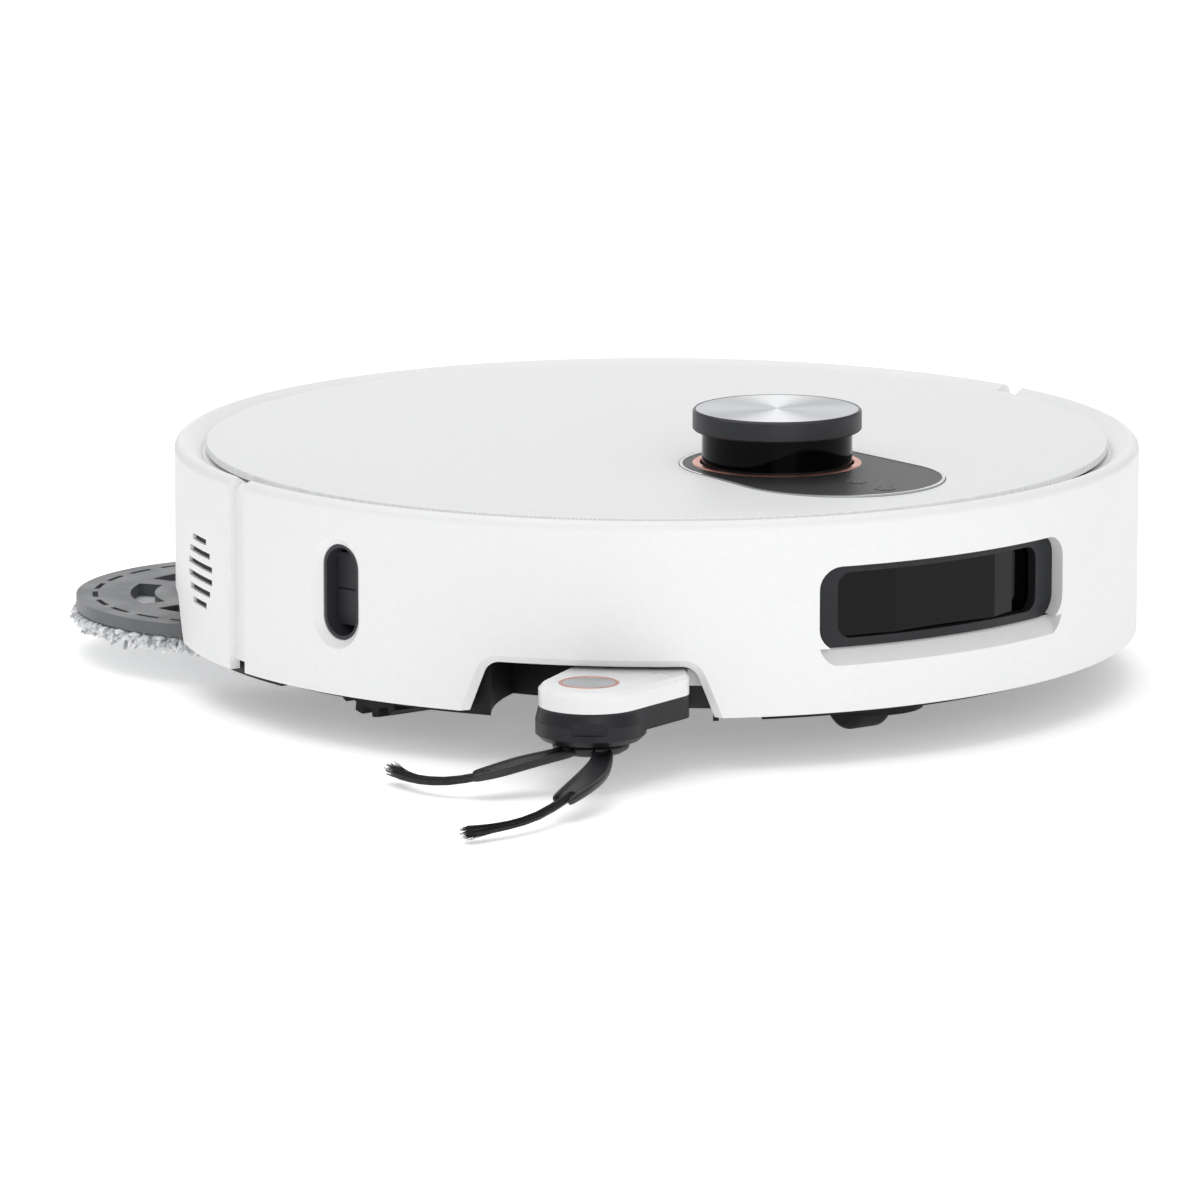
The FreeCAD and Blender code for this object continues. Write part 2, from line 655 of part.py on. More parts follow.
def make_turret():
    ring = [(27.4, "panel_top - 1.2"), ("turret_cap_radius", "panel_top - 1.2"),
            ("turret_cap_radius", "panel_top"), ("turret_cap_radius - 0.6", "panel_top + 0.3"),
            (27.6, "panel_top + 0.3"), (27.4, "panel_top")]
    node("turret_ring", set_base(turned(ring), y="turret_y"))
    tube = [(24, "turret_tube_foot + 2"), (0, "turret_tube_foot + 2"), (0, "turret_tube_foot"),
            ("turret_window_radius - 0.3", "turret_tube_foot"),
            ("turret_window_radius - 0.3", "turret_window_foot"), (24, "turret_window_foot")]
    node("turret_tube", set_base(turned(tube), y="turret_y"))
    glass = [("turret_window_radius - 1.6", "turret_window_foot"),
             ("turret_window_radius", "turret_window_foot"),
             ("turret_window_radius", "turret_cap_under"),
             ("turret_window_radius - 1.6", "turret_cap_under")]
    node("turret_window", set_base(turned(glass), y="turret_y"))
    cap = [(0, "turret_cap_under"), ("turret_cap_radius - 0.5", "turret_cap_under"),
           ("turret_cap_radius", "turret_cap_under + 0.5"), ("turret_cap_radius", "turret_top - 0.7"),
           ("turret_cap_radius - 0.7", "turret_top"), (29.1, "turret_top"), (29.1, "turret_top - 0.8"),
           (0, "turret_top - 0.8")]
    node("turret_cap", set_base(turned(cap), y="turret_y"))
    disc = [(0, "turret_top - 0.8"), (29, "turret_top - 0.8"), (29, "turret_top - 0.15"),
            (28.8, "turret_top - 0.05"), (0, "turret_top - 0.05")]
    node("turret_disc", set_base(turned(disc), y="turret_y"))
    rotor = cylinder(0, "turret_y", 72, 98, 19)
    flat = box(-25, 25, "turret_y - 25", "turret_y - 15", 84, 100)
    bore = cylinder(0, "turret_y", 71, 86, 3 + size("fit"))
    eye = cylinder(8, "turret_y", 88, 96, 3)
    node("lidar_rotor", cut(rotor, flat, bore, eye))
    motor = cylinder(0, "turret_y", "turret_tube_foot + 2", 71, 15)
    shaft = cylinder(0, "turret_y", 70, 85, 3)
    node("lidar_motor", join(motor, shaft))


# ---------------------------------------------------------------- front sensing window

def make_front_window():
    bearing = size("window_bearing")
    inner, outer = "body_radius - window_depth - 3", "body_radius - window_depth + 1"
    low, high = "window_low + 0.2", "window_high - 0.2"
    ring = turned([(inner, low), (outer, low), (outer, high), (inner, high)], 60)
    frame = common(ring, front_slab("window_half - 0.2", low, high, "window_corner - 0.2", 60))
    hole = front_slab("window_half - 10", "window_low + 3.2", "window_high - 3.3", "window_corner - 3", 60)
    node("window_bezel", faced(cut(frame, hole), bearing))
    # The dark window is a faceted box: slanted on one side, flat in the middle, stepped back on the other.
    front = [(-43.8, -162), (-20.6, -166.8), (23, -166.8), (33, -164), (35, -159.5), (43.8, -158.5)]
    back = [(x, y + 2) for x, y in reversed(front)]
    prism = set_base(padded(front + back, "window_high - window_low - 6.7"), z="window_low + 3.3")
    rim = front_slab("window_half - 10.2", "window_low + 3.3", "window_high - 3.4", "window_corner - 3.1",
                     60)
    node("front_glass", faced(common(prism, rim), bearing))
    bracket = box(-28, 28, -157, -153, 44, 66)
    post = box(-28, 28, -153, -147, 60, 66)
    node("sensor_bracket", faced(join(bracket, post), bearing))
    body = box(-11, 11, -159.5, -157, 46, 64)
    lens = set_base(rod_y_front(55, 6, 0, 2), y=-159)
    pupil = set_base(rod_y_front(55, 3.4, 0, 1), y=-160.3)
    node("camera_module", faced(cut(join(body, lens), pupil), bearing))
    lasers = []
    for side in (1, -1):
        block = box(side * 20 - 6, side * 20 + 6, -159.5, -157, 48, 62)
        slit = box(side * 20 - 5, side * 20 + 5, -160, -159, 54, 56)
        lasers.append(cut(block, slit))
    node("line_lasers", faced(group(*lasers), bearing))


def make_wall_sensor():
    """Deep stadium cup in the bumper's side with a sensor block at its bottom."""
    cup = cut(stadium("-0.2", 160, "body_radius - 3.2"), stadium("-1.4", 161.5, "body_radius"))
    block = faced(box("-(sensor_radius - 1.6)", 2, -166, -161.5, "sensor_z - sensor_reach - 4",
                      "sensor_z + sensor_reach + 4"), size("sensor_bearing"))
    seam = faced(box(-20, 3, -166.5, -165.2, "sensor_z - 0.4", "sensor_z + 0.4"), size("sensor_bearing"))
    node("wall_sensor_cup", join(cup, cut(block, seam)))


# ---------------------------------------------------------------- side brush arm

def arm_prism(z0, z1):
    """Arm in plan: outer end, elbow, front corner and pivot, each joined by straight sides."""
    end = ("pod_x", "pod_y", "pod_radius")
    elbow = ("elbow_x", "elbow_y", "elbow_radius")
    heel = ("heel_x", "heel_y", "heel_radius")
    pivot = ("arm_pivot_x", "arm_pivot_y", "arm_hub_radius")
    sides = ((end, elbow), (end, heel), (heel, elbow), (elbow, pivot))
    return join(*[capsule(first, second, z0, z1) for first, second in sides])


def make_arm():
    pod = set_base(turned([(0, "arm_bottom"), ("pod_radius - 1", "arm_bottom"),
                           ("pod_radius + 1", "arm_bottom + 2"),
                           ("pod_radius + 1", "arm_seam - 5"), ("pod_radius - 0.2", "arm_seam"),
                           (0, "arm_seam")]), "pod_x", "pod_y")
    lower = join(arm_prism("arm_belly", "arm_seam"), pod)
    motor_bore = cylinder("pod_x", "pod_y", "arm_bottom + 2", "arm_seam + 1", 12.2)
    shaft_bore = cylinder("pod_x", "pod_y", "arm_bottom - 1", "arm_seam", 5)
    pin_bore = cylinder("arm_pivot_x", "arm_pivot_y", "arm_bottom - 1", "arm_top + 1",
                        "arm_pin_radius + fit")
    outward = Vector(-0.6, -0.8, 0)
    recess = doc.addObject("Part::Box", "recess")
    recess.Length = 12
    recess.Width = 3
    recess.Height = 4.5
    middle = Vector(size("pod_x"), size("pod_y"), 0) + outward * (size("pod_radius") - 0.2)
    turn = math.degrees(math.atan2(outward.y, outward.x)) + 90
    recess.Placement = Placement(middle + Vector(0, 0, 20.5), Rotation(UP, turn)).multiply(
        Placement(Vector(-6, -3, 0), Rotation()))
    node("arm_housing", cut(lower, motor_bore, shaft_bore, pin_bore, recess))
    upper = arm_prism("arm_seam", "arm_top")
    upper = chamfered(upper, 1.4, 1.4, at_height(size("arm_top"), 5))
    seat = cylinder("pod_x + 0.6", "pod_y + 2", "arm_top - 1.2", "arm_top + 1", 10.45)
    upper_bore = cylinder("arm_pivot_x", "arm_pivot_y", "arm_bottom - 1", "arm_top + 1",
                          "arm_pin_radius + fit")
    node("arm_cover", cut(upper, seat, upper_bore))
    ring = [(9.2, "arm_top - 1.2"), (10.35, "arm_top - 1.2"), (10.35, "arm_top - 0.1"),
            (10.15, "arm_top + 0.15"), (9.4, "arm_top + 0.15"), (9.2, "arm_top - 0.1")]
    node("arm_badge_ring", set_base(turned(ring), "pod_x + 0.6", "pod_y + 2"))
    node("arm_badge", cylinder("pod_x + 0.6", "pod_y + 2", "arm_top - 1.2", "arm_top", 9.15))
    motor = cylinder("pod_x", "pod_y", "arm_bottom + 2", "arm_seam", 12)
    bore = cylinder("pod_x", "pod_y", "arm_bottom + 1", "arm_seam - 2", "3 + fit")
    node("side_brush_motor", cut(motor, bore))


BRUSH_ARMS = [
    # root, bend and tip of each brush arm, measured from the pod's axis
    (Vector(-12, -2.5, 12.6), Vector(-42, 4, 7.5), Vector(-56.7, 38, 4.2)),
    (Vector(-2, -11.5, 12.6), Vector(-33, -31, 7.5), Vector(-78.5, -38.5, 4.2)),
]


def make_side_brush():
    hub = [(0, 11.2), (11, 11.2), ("brush_hub_radius", 12.5), ("brush_hub_radius", 15.4), (5, 15.4),
           (3, 16.5), (3, "arm_seam - 4"), (0, "arm_seam - 4")]
    pieces = [set_base(turned(hub), "pod_x", "pod_y")]
    tufts = []
    pod = Vector(size("pod_x"), size("pod_y"), 0)
    for root, bend, tip in BRUSH_ARMS:
        start, elbow, end = pod + root, pod + bend, pod + tip
        pieces.append(taper(start, elbow, 2.6, 1.9))
        tufts.append(taper(elbow + (end - elbow).normalize() * 0.01, end, 1.6, 3.2))
        ball = doc.addObject("Part::Sphere", "ball")
        ball.Radius = 1.9
        ball.Placement = Placement(elbow, Rotation())
        pieces.append(ball)
    arms = join(*pieces)
    node("side_brush", arms)
    solids = []
    for tuft in tufts:
        solids.append(cut(tuft, arms))
    node("side_brush_bristles", group(*solids))


# ---------------------------------------------------------------- mops

def make_mop(side_name, x, y):
    plate = cylinder(x, y, "mop_plate_under", "mop_plate_top", "mop_plate_radius")
    windows = []
    for index in range(6):
        sector = turned([(39, "mop_plate_under - 1"), (48, "mop_plate_under - 1"),
                         (48, "mop_plate_top + 1"), (39, "mop_plate_top + 1")], 48, 60 * index)
        windows.append(set_base(sector, x, y))
    for index in range(24):
        slit = turned([(60, "mop_plate_top - 1.5"), (62, "mop_plate_top - 1.5"),
                       (62, "mop_plate_top + 1"), (60, "mop_plate_top + 1")], 10, 15 * index)
        windows.append(set_base(slit, x, y))
    shaft = cylinder(x, y, "mop_plate_top", 32, 4)
    plate = join(cut(plate, *windows), shaft)
    node("mop_plate_" + side_name, plate)
    pad = cylinder(x, y, "mop_pad_under", "mop_plate_under", "mop_pad_radius")
    node("mop_pad_" + side_name, rounded(pad, 2.5, at_height(size("mop_pad_under"))))
    motor = cylinder(x, y, "mop_plate_top + 1.2", 38.6, "mop_motor_radius")
    bore = cylinder(x, y, "mop_plate_top", 34, "4 + fit")
    node("mop_motor_" + side_name, cut(motor, bore))


def make_mop_arm():
    link = capsule(("mop_pivot_x", "mop_pivot_y", 12), ("mop_out_x", "mop_out_y", 24.5), 26, 32.5)
    guide = cylinder("mop_out_x", "mop_out_y", 25, 34, "mop_motor_radius + gap")
    bore = cylinder("mop_pivot_x", "mop_pivot_y", 25, 34, "axle_radius + fit")
    node("mop_arm", cut(link, guide, bore))


# ---------------------------------------------------------------- wheels

def make_drive(side_name, side):
    near, far = size("wheel_inner"), size("wheel_outer")
    x0, x1 = (near, far) if side > 0 else (-far, -near)
    root = "wheel_radius - 3"
    tyre = rod_x(x0, x1, "wheel_y", "wheel_radius", root)
    hole = rod_x(x0 - 1, x1 + 1, "wheel_y", "wheel_radius", "wheel_radius - 8")
    lugs = []
    count = int(size("wheel_lugs"))
    middle = (x0 + x1) / 2
    for index in range(2 * count):
        lug = doc.addObject("Part::Box", "lug")
        lug.Length = (x1 - x0) / 2 + 2
        lug.Width = 4.6
        lug.Height = 4
        start = x0 if index % 2 else middle - 2
        local = Placement(Vector(start, -2.3, size("wheel_radius") - 4), Rotation())
        turn = Placement(Vector(0, size("wheel_y"), size("wheel_radius")),
                         Rotation(Vector(1, 0, 0), 180.0 * index / count))
        lug.Placement = turn.multiply(local)
        lugs.append(lug)
    limit = rod_x(x0, x1, "wheel_y", "wheel_radius", "wheel_radius")
    node("tyre_" + side_name, cut(common(join(tyre, *lugs), limit), hole))
    rim = rod_x(x0, x1, "wheel_y", "wheel_radius", "wheel_radius - 8")
    bore = rod_x(x0 - 1, x1 + 1, "wheel_y", "wheel_radius", "axle_radius + fit")
    dish_from = x1 - 5 if side > 0 else x0 - 1
    dish = cut(rod_x(dish_from, dish_from + 6, "wheel_y", "wheel_radius", 22),
               rod_x(dish_from - 1, dish_from + 7, "wheel_y", "wheel_radius", 9))
    node("wheel_rim_" + side_name, cut(rim, bore, dish))
    a, b = (91, 104) if side > 0 else (-104, -91)
    block = box(a, b, "wheel_y - 18", "swing_y", 27, 48)
    boss = rod_x(a, b, "swing_y", "swing_z", 7.5)
    pivot_bore = rod_x(a - 1, b + 1, "swing_y", "swing_z", "axle_radius + fit")
    axle = rod_x(a + 3, x1 - 1, "wheel_y", "wheel_radius", "axle_radius") if side > 0 else rod_x(
        x0 + 1, b - 3, "wheel_y", "wheel_radius", "axle_radius")
    node("wheel_gearbox_" + side_name, join(cut(join(block, boss), pivot_bore), axle))


def make_pivot_pins():
    """Fixed pins of both swing arms and of both drive wheel suspensions."""
    node("pivot_pins", group(
        cylinder("arm_pivot_x", "arm_pivot_y", "arm_belly - 1", "arm_bay_top", "arm_pin_radius"),
        cylinder("mop_pivot_x", "mop_pivot_y", 24.5, "mop_bay_top", "axle_radius"),
        rod_x(89, 104.4, "swing_y", "swing_z", "axle_radius"),
        rod_x(-104.4, -89, "swing_y", "swing_z", "axle_radius")))


def make_caster():
    wheel_y = "caster_y + caster_trail"
    wheel = rod_x(-7, 7, wheel_y, "caster_radius", "caster_radius")
    wheel = rounded(wheel, 2, lambda edge: isinstance(edge.Curve, Part.Circle))
    node("caster_wheel", cut(wheel, rod_x(-9, 9, wheel_y, "caster_radius", 2 + size("fit"))))
    node("caster_axle", rod_x(-12, 12, wheel_y, "caster_radius", 2))
    dome = cylinder(0, "caster_y", 9, 28, 20)
    hollow = rod_x(-7.5, 7.5, wheel_y, "caster_radius", "caster_radius + 1.2")
    slot = box(-7.5, 7.5, "caster_y - 12", "caster_y + 22", 0, "caster_radius")
    axle_hole = rod_x(-12.02, 12.02, wheel_y, "caster_radius", 2.02)
    stem = cylinder(0, "caster_y", 27, 41.7, "axle_radius")
    node("caster_fork", join(cut(dome, hollow, slot, axle_hole), stem))


# ---------------------------------------------------------------- main brush

def make_main_brush():
    core = rod_x("-roller_half", "roller_half", "roller_y", "roller_z", 11)
    studs = rod_x("-roller_half - 4", "roller_half + 4", "roller_y", "roller_z", 3)
    node("main_brush_core", join(core, studs))
    fins = []
    count = int(size("roller_fins"))
    for index in range(count):
        fin = doc.addObject("Part::Box", "fin")
        bind(fin, "Length", "2 * roller_half - 6")
        fin.Width = 1.8
        fin.Height = size("roller_radius") - 10.5
        local = Placement(Vector(-size("roller_half") + 3, -0.9, 10.5), Rotation())
        turn = Placement(Vector(0, size("roller_y"), size("roller_z")),
                         Rotation(Vector(1, 0, 0), 360.0 * index / count))
        fin.Placement = turn.multiply(local)
        fins.append(fin)
    sleeve = rod_x("-roller_half + 3", "roller_half - 3", "roller_y", "roller_z", 12.5)
    hole = rod_x("-roller_half", "roller_half", "roller_y", "roller_z", 11)
    node("main_brush_fins", cut(join(sleeve, *fins), hole))
    ends = []
    for a, b in (("roller_half + 0.6", "roller_half + 6"), ("-roller_half - 6", "-roller_half - 0.6")):
        block = box(a, b, "roller_y - 6", "roller_y + 6", "roller_z - 6", "roller_z + 22")
        ends.append(cut(block, rod_x("-roller_half - 5", "roller_half + 5", "roller_y", "roller_z",
                                     3 + size("fit"))))
    node("brush_bearings", group(*ends))
    frame = box(-96, 96, "roller_y - 30", "roller_y + 26", "chassis_bottom - 2", "chassis_bottom")
    mouth = box(-88.5, 88.5, "roller_y - 22.5", "roller_y + 22.5", "chassis_bottom - 3",
                "chassis_bottom + 1")
    near_wheel = [box(-137, -88.5, "wheel_y - 39", 0, 10, 20), box(88.5, 137, "wheel_y - 39", 0, 10, 20)]
    node("brush_guard", cut(frame, mouth, *near_wheel))


# ---------------------------------------------------------------- inside

def make_inside():
    node("battery", rounded(box(34, 104, -124, -80, 20, 60), 3, along(UP)))
    board = box(36, 118, -74, -48, 66, 67.6)
    chips = [box(44, 60, -68, -54, 67.6, 69.4), box(70, 80, -70, -60, 67.6, 69),
             box(92, 110, -66, -52, 67.6, 71)]
    node("main_board", join(board, *chips))
    bin_outer = box(-60, 60, -30, 22, 45, "deck_top - 0.2")
    bin_inner = box(-58, 58, -28, 20, 47, 78)
    node("dust_bin", cut(bin_outer, bin_inner))
    node("bin_filter", box(-30, 30, 15, 20, 50, 74))
    scroll = cylinder(62, 64, 43, 74, 32)
    cavity = cylinder(62, 64, 47, 70, 27)
    mouth = cylinder(62, 64, 69, 76, 14)
    node("fan_housing", cut(scroll, cavity, mouth))
    hub = cylinder(62, 64, 49, 62, 9)
    blades = [hub]
    for index in range(9):
        blade = doc.addObject("Part::Box", "blade")
        blade.Length = 18
        blade.Width = 1.4
        blade.Height = 10
        blade.Placement = Placement(Vector(62, 64, 50), Rotation(UP, 40.0 * index))
        blade.Placement = blade.Placement.multiply(Placement(Vector(7.5, -0.7, 0), Rotation()))
        blades.append(blade)
    node("fan_impeller", join(*blades))
    outer = common(box(-130, 22, 62, 158, 43, 70.5), cylinder(0, 0, 40, 80, 162))
    inner = common(box(-127.5, 19.5, 64.5, 155.5, 45.5, 68), cylinder(0, 0, 40, 80, 159.5))
    node("water_tank", cut(outer, inner))


SCREWS = [(40, -152), (-20, -156), (96, -100), (-60, 4), (60, 4), (-146, -16), (146, -16), (0, 20), (0, 146)]
CLIFF_SENSORS = [0, 62, -62, 180]


def make_underside_trim():
    heads = []
    for x, y in SCREWS:
        head = cylinder(x, y, "chassis_bottom - 1.2", "chassis_bottom", 3.4)
        slot = box(x - 2.2, x + 2.2, y - 0.5, y + 0.5, "chassis_bottom - 1.3", "chassis_bottom - 0.6")
        cross = box(x - 0.5, x + 0.5, y - 2.2, y + 2.2, "chassis_bottom - 1.3", "chassis_bottom - 0.6")
        heads.append(cut(head, slot, cross))
    node("screws", group(*heads))
    lenses = []
    for degrees in CLIFF_SENSORS:
        lens = box(-9, 9, -162.5, -156, "chassis_bottom - 0.5", "chassis_bottom")
        lenses.append(faced(lens, degrees))
    node("cliff_sensors", group(*lenses))


# ---------------------------------------------------------------- build and write

def build_all():
    make_bumper()
    make_rear_shell()
    make_contacts()
    make_chassis()
    make_deck()
    make_top_cover()
    make_panel()
    make_turret()
    make_front_window()
    make_wall_sensor()
    make_arm()
    make_side_brush()
    make_mop("right", "mop_out_x", "mop_out_y")
    make_mop("left", "mop_x", "mop_y")
    make_mop_arm()
    make_drive("right", -1)
    make_drive("left", 1)
    make_pivot_pins()
    make_caster()
    make_main_brush()
    make_inside()
    make_underside_trim()


def check_and_write():
    doc.recompute()
    for item in doc.Objects:
        if "Invalid" in item.State or "Error" in item.State:
            raise RuntimeError("%s (%s) failed" % (item.Name, item.Label))
    for label, item in nodes.items():
        shape = item.Shape
        if shape.isNull() or not shape.isValid() or not shape.Solids:
            raise RuntimeError("%s has no valid shape" % label)
    os.makedirs("parts", exist_ok=True)
    for label, item in nodes.items():
        item.Shape.exportStep("parts/%s.step" % label)
        print("%-24s %3d solids %10.0f mm3" % (label, len(item.Shape.Solids), item.Shape.Volume))


build_all()
check_and_write()
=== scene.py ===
# %% [markdown]
# # A round floor-cleaning robot, finished in Blender
# The machine's hard parts come ready made from its design model, in metres, standing on the floor
# at z = 0 with the front towards -Y. Here each of them gets the finish of the real thing, and the
# soft pieces - bristles and mop pile - are built strand by strand, because a solid can't show them.

# %% Load the design model
import math
import random

import bmesh
import bpy
from mathutils import Matrix, Vector


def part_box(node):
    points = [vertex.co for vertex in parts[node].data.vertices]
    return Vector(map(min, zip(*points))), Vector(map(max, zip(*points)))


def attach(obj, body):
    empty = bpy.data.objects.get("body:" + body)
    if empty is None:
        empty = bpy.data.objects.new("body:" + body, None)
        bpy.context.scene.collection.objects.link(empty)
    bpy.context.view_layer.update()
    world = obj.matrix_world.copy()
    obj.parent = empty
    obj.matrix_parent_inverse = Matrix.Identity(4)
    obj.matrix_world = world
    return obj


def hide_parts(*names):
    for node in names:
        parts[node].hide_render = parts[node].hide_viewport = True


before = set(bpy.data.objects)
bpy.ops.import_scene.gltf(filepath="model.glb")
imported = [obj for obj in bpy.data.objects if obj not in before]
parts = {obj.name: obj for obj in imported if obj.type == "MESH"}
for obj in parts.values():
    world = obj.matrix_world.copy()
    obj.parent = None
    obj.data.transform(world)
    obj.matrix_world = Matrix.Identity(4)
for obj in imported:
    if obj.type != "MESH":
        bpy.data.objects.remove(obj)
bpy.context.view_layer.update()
print("loaded", len(parts), "parts")

# %% [markdown]
# Pattern sizes are easier to trust in millimetres, and colours in the hex code that a paint card
# gives. A shader wants linear light, so one function turns a hex code into it.

# %% Units and colours
MM = 0.001
WAVE_BAND = 0.31416  # a wave texture of this scale draws one band per metre


def linear(code, alpha=1.0):
    """Linear colour of an sRGB hex code."""
    shown = [int(code[i:i + 2], 16) / 255 for i in (0, 2, 4)]
    light = [c / 12.92 if c <= 0.04045 else ((c + 0.055) / 1.055) ** 2.4 for c in shown]
    return (*light, alpha)


def middle(name):
    """Centre of a design part's box."""
    low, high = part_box(name)
    return (low + high) / 2


# %% [markdown]
# A material is a small network. One helper adds a node, sets its settings and fills or links its
# inputs, so a recipe below reads from the pattern to the surface.

# %% Node helper and material base
def add(tree, kind, inputs=None, **settings):
    """A shader node with its settings; an input is a value or another node's output."""
    made = tree.nodes.new("ShaderNode" + kind)
    for name, value in settings.items():
        setattr(made, name, value)
    for name, value in (inputs or {}).items():
        if isinstance(value, bpy.types.NodeSocket):
            tree.links.new(value, made.inputs[name])
        else:
            made.inputs[name].default_value = value
    return made


def surface(name, colour, rough, **sockets):
    """A new material: its node tree and its Principled shader."""
    material = bpy.data.materials.new(name)
    material.use_nodes = True
    shader = material.node_tree.nodes["Principled BSDF"]
    shader.inputs["Base Color"].default_value = linear(colour)
    shader.inputs["Roughness"].default_value = rough
    for socket, value in sockets.items():
        shader.inputs[socket.replace("_", " ")].default_value = value
    return material, material.node_tree, shader


def here(tree):
    """Place on the piece, in metres."""
    return add(tree, "TexCoord").outputs["Object"]


def mottled(tree, shader, dark, light, size, place=None):
    """Two close shades that drift into each other over a given size."""
    noise = add(tree, "TexNoise", {"Vector": place or here(tree), "Scale": 1 / size, "Detail": 4.0})
    mix = add(tree, "MixRGB", {"Fac": noise.outputs["Fac"], "Color1": linear(dark),
                               "Color2": linear(light)})
    tree.links.new(mix.outputs["Color"], shader.inputs["Base Color"])
    return noise


def worn(tree, shader, low, high, size):
    """Roughness that varies as handling leaves it."""
    noise = add(tree, "TexNoise", {"Vector": here(tree), "Scale": 1 / size, "Detail": 3.0})
    spread = add(tree, "MapRange", {"Value": noise.outputs["Fac"], "From Min": 0.3, "From Max": 0.7,
                                    "To Min": low, "To Max": high})
    tree.links.new(spread.outputs["Result"], shader.inputs["Roughness"])


def raised(tree, shader, height, depth, strength=1.0):
    """Turn a pattern into relief of a real depth."""
    bump = add(tree, "Bump", {"Height": height, "Distance": depth, "Strength": strength})
    tree.links.new(bump.outputs["Normal"], shader.inputs["Normal"])
    return bump


def dress(material, *names):
    """Give design parts a finish."""
    for name in names:
        slots = parts[name].data.materials
        slots.clear()
        slots.append(material)


# %% [markdown]
# ## The white shells
# Bumper and rear shell are injection-moulded ABS. The mould is spark-eroded, which leaves a very
# fine grain: it breaks up reflections into a soft satin. A fine noise does this as bump, and a
# slower one lets the roughness drift a little, as on any part that is handled.

# %% Moulded ABS with a spark-eroded grain
def moulded_white():
    material, tree, shader = surface("white_abs_spark_grain", "F0F0F0", 0.46, IOR=1.53)
    grain = add(tree, "TexNoise", {"Vector": here(tree), "Scale": 1 / (0.9 * MM), "Detail": 3.0})
    mottled(tree, shader, "ECEDEE", "F3F3F3", 2.2 * MM)
    worn(tree, shader, 0.42, 0.52, 40 * MM)
    raised(tree, shader, grain.outputs["Fac"], 0.035 * MM, 0.8)
    return material


dress(moulded_white(), "bumper", "rear_shell")

# %% [markdown]
# The lift-off cover has a woven look pressed into the plastic: thin ribs that cross at right angles. Two
# equal waves, one along each axis, are multiplied to make the weave; it drives the relief and also paints
# the weave's low parts darker, which is painted shade in its hollows. The real ribs are finer; 1.1 mm is as
# fine as still shows.

# %% Linen-pressed cover
def linen_white():
    material, tree, shader = surface("white_abs_linen_press", "F2F2F2", 0.5, IOR=1.53)
    place = here(tree)
    pitch = 1.1 * MM
    waves = []
    for axis in ("X", "Y"):
        wave = add(tree, "TexWave", {"Vector": place, "Scale": 1 / pitch * WAVE_BAND, "Distortion": 0.25,
                                     "Detail": 1.0, "Detail Scale": 2.0},
                   wave_type="BANDS", bands_direction=axis, wave_profile="SIN")
        waves.append(wave.outputs["Fac"])
    weave_and_hollow_shade = add(tree, "Math", {0: waves[0], 1: waves[1]}, operation="MULTIPLY")
    # the low parts of the weave are painted darker: painted shade in the hollows of the relief
    tint = add(tree, "MixRGB", {"Fac": weave_and_hollow_shade.outputs[0], "Color1": linear("E4E5E6"),
                                "Color2": linear("F7F7F7")})
    tree.links.new(tint.outputs["Color"], shader.inputs["Base Color"])
    raised(tree, shader, weave_and_hollow_shade.outputs[0], 0.05 * MM, 0.8)
    return material


dress(linen_white(), "top_cover")

# %% [markdown]
# The swing-out arm carries a smoother white cap: the same ABS from a polished mould, so its
# highlights are tighter. The pale rim of the control panel is its clear-coated cousin.

# %% Polished white and pale trim
def polished_white():
    material, tree, shader = surface("white_abs_polished", "EFEFF0", 0.3, IOR=1.53, Coat_Weight=0.15)
    mottled(tree, shader, "ECECED", "F1F1F2", 9 * MM)
    worn(tree, shader, 0.26, 0.36, 12 * MM)
    return material


def pale_rim():
    material, tree, shader = surface("pale_grey_polished_rim", "B9BBBD", 0.22, Metallic=0.5)
    worn(tree, shader, 0.18, 0.3, 6 * MM)
    return material


dress(polished_white(), "arm_cover")
dress(pale_rim(), "panel_trim")

# %% [markdown]
# ## The dark plastics
# Everything underneath is black ABS with a coarser spark texture that hides scuffs. Housings
# that move are a shade lighter. One recipe serves both, with the grain as bump.

# %% Spark-textured dark plastics
def dark_plastic(name, dark, light, rough, grain_size=0.7 * MM, relief=0.03 * MM):
    material, tree, shader = surface(name, light, rough, IOR=1.5, Specular_IOR_Level=0.3)
    noise = mottled(tree, shader, dark, light, 3 * MM)
    grain = add(tree, "TexNoise", {"Vector": here(tree), "Scale": 1 / grain_size, "Detail": 2.0})
    worn(tree, shader, rough - 0.05, rough + 0.06, 25 * MM)
    raised(tree, shader, grain.outputs["Fac"], relief)
    return material


chassis_black = dark_plastic("black_abs_coarse_grain", "0A0A0B", "101113", 0.55, 1.1 * MM, 0.06 * MM)
dress(chassis_black, "chassis", "brush_guard", "brush_bearings", "caster_fork", "deck")
housing_grey = dark_plastic("charcoal_abs_fine_grain", "1B1C1F", "222326", 0.42)
dress(housing_grey, "arm_housing", "wheel_gearbox_left", "wheel_gearbox_right", "mop_arm",
      "sensor_bracket", "fan_housing", "side_brush_motor", "mop_motor_left", "mop_motor_right",
      "lidar_motor", "battery", "turret_tube")
bezel_grey = dark_plastic("charcoal_abs_satin_bezel", "1E1F22", "26272A", 0.4)
dress(bezel_grey, "window_bezel")
dress(dark_plastic("charcoal_abs_sensor_cup", "303135", "3C3D41", 0.34), "wall_sensor_cup")
dress(dark_plastic("black_nylon_inner_parts", "101012", "161618", 0.4), "lidar_rotor", "fan_impeller",
      "camera_module", "line_lasers")
dress(dark_plastic("grey_abs_wheel_rim", "2A2B2D", "333437", 0.45), "wheel_rim_left", "wheel_rim_right")
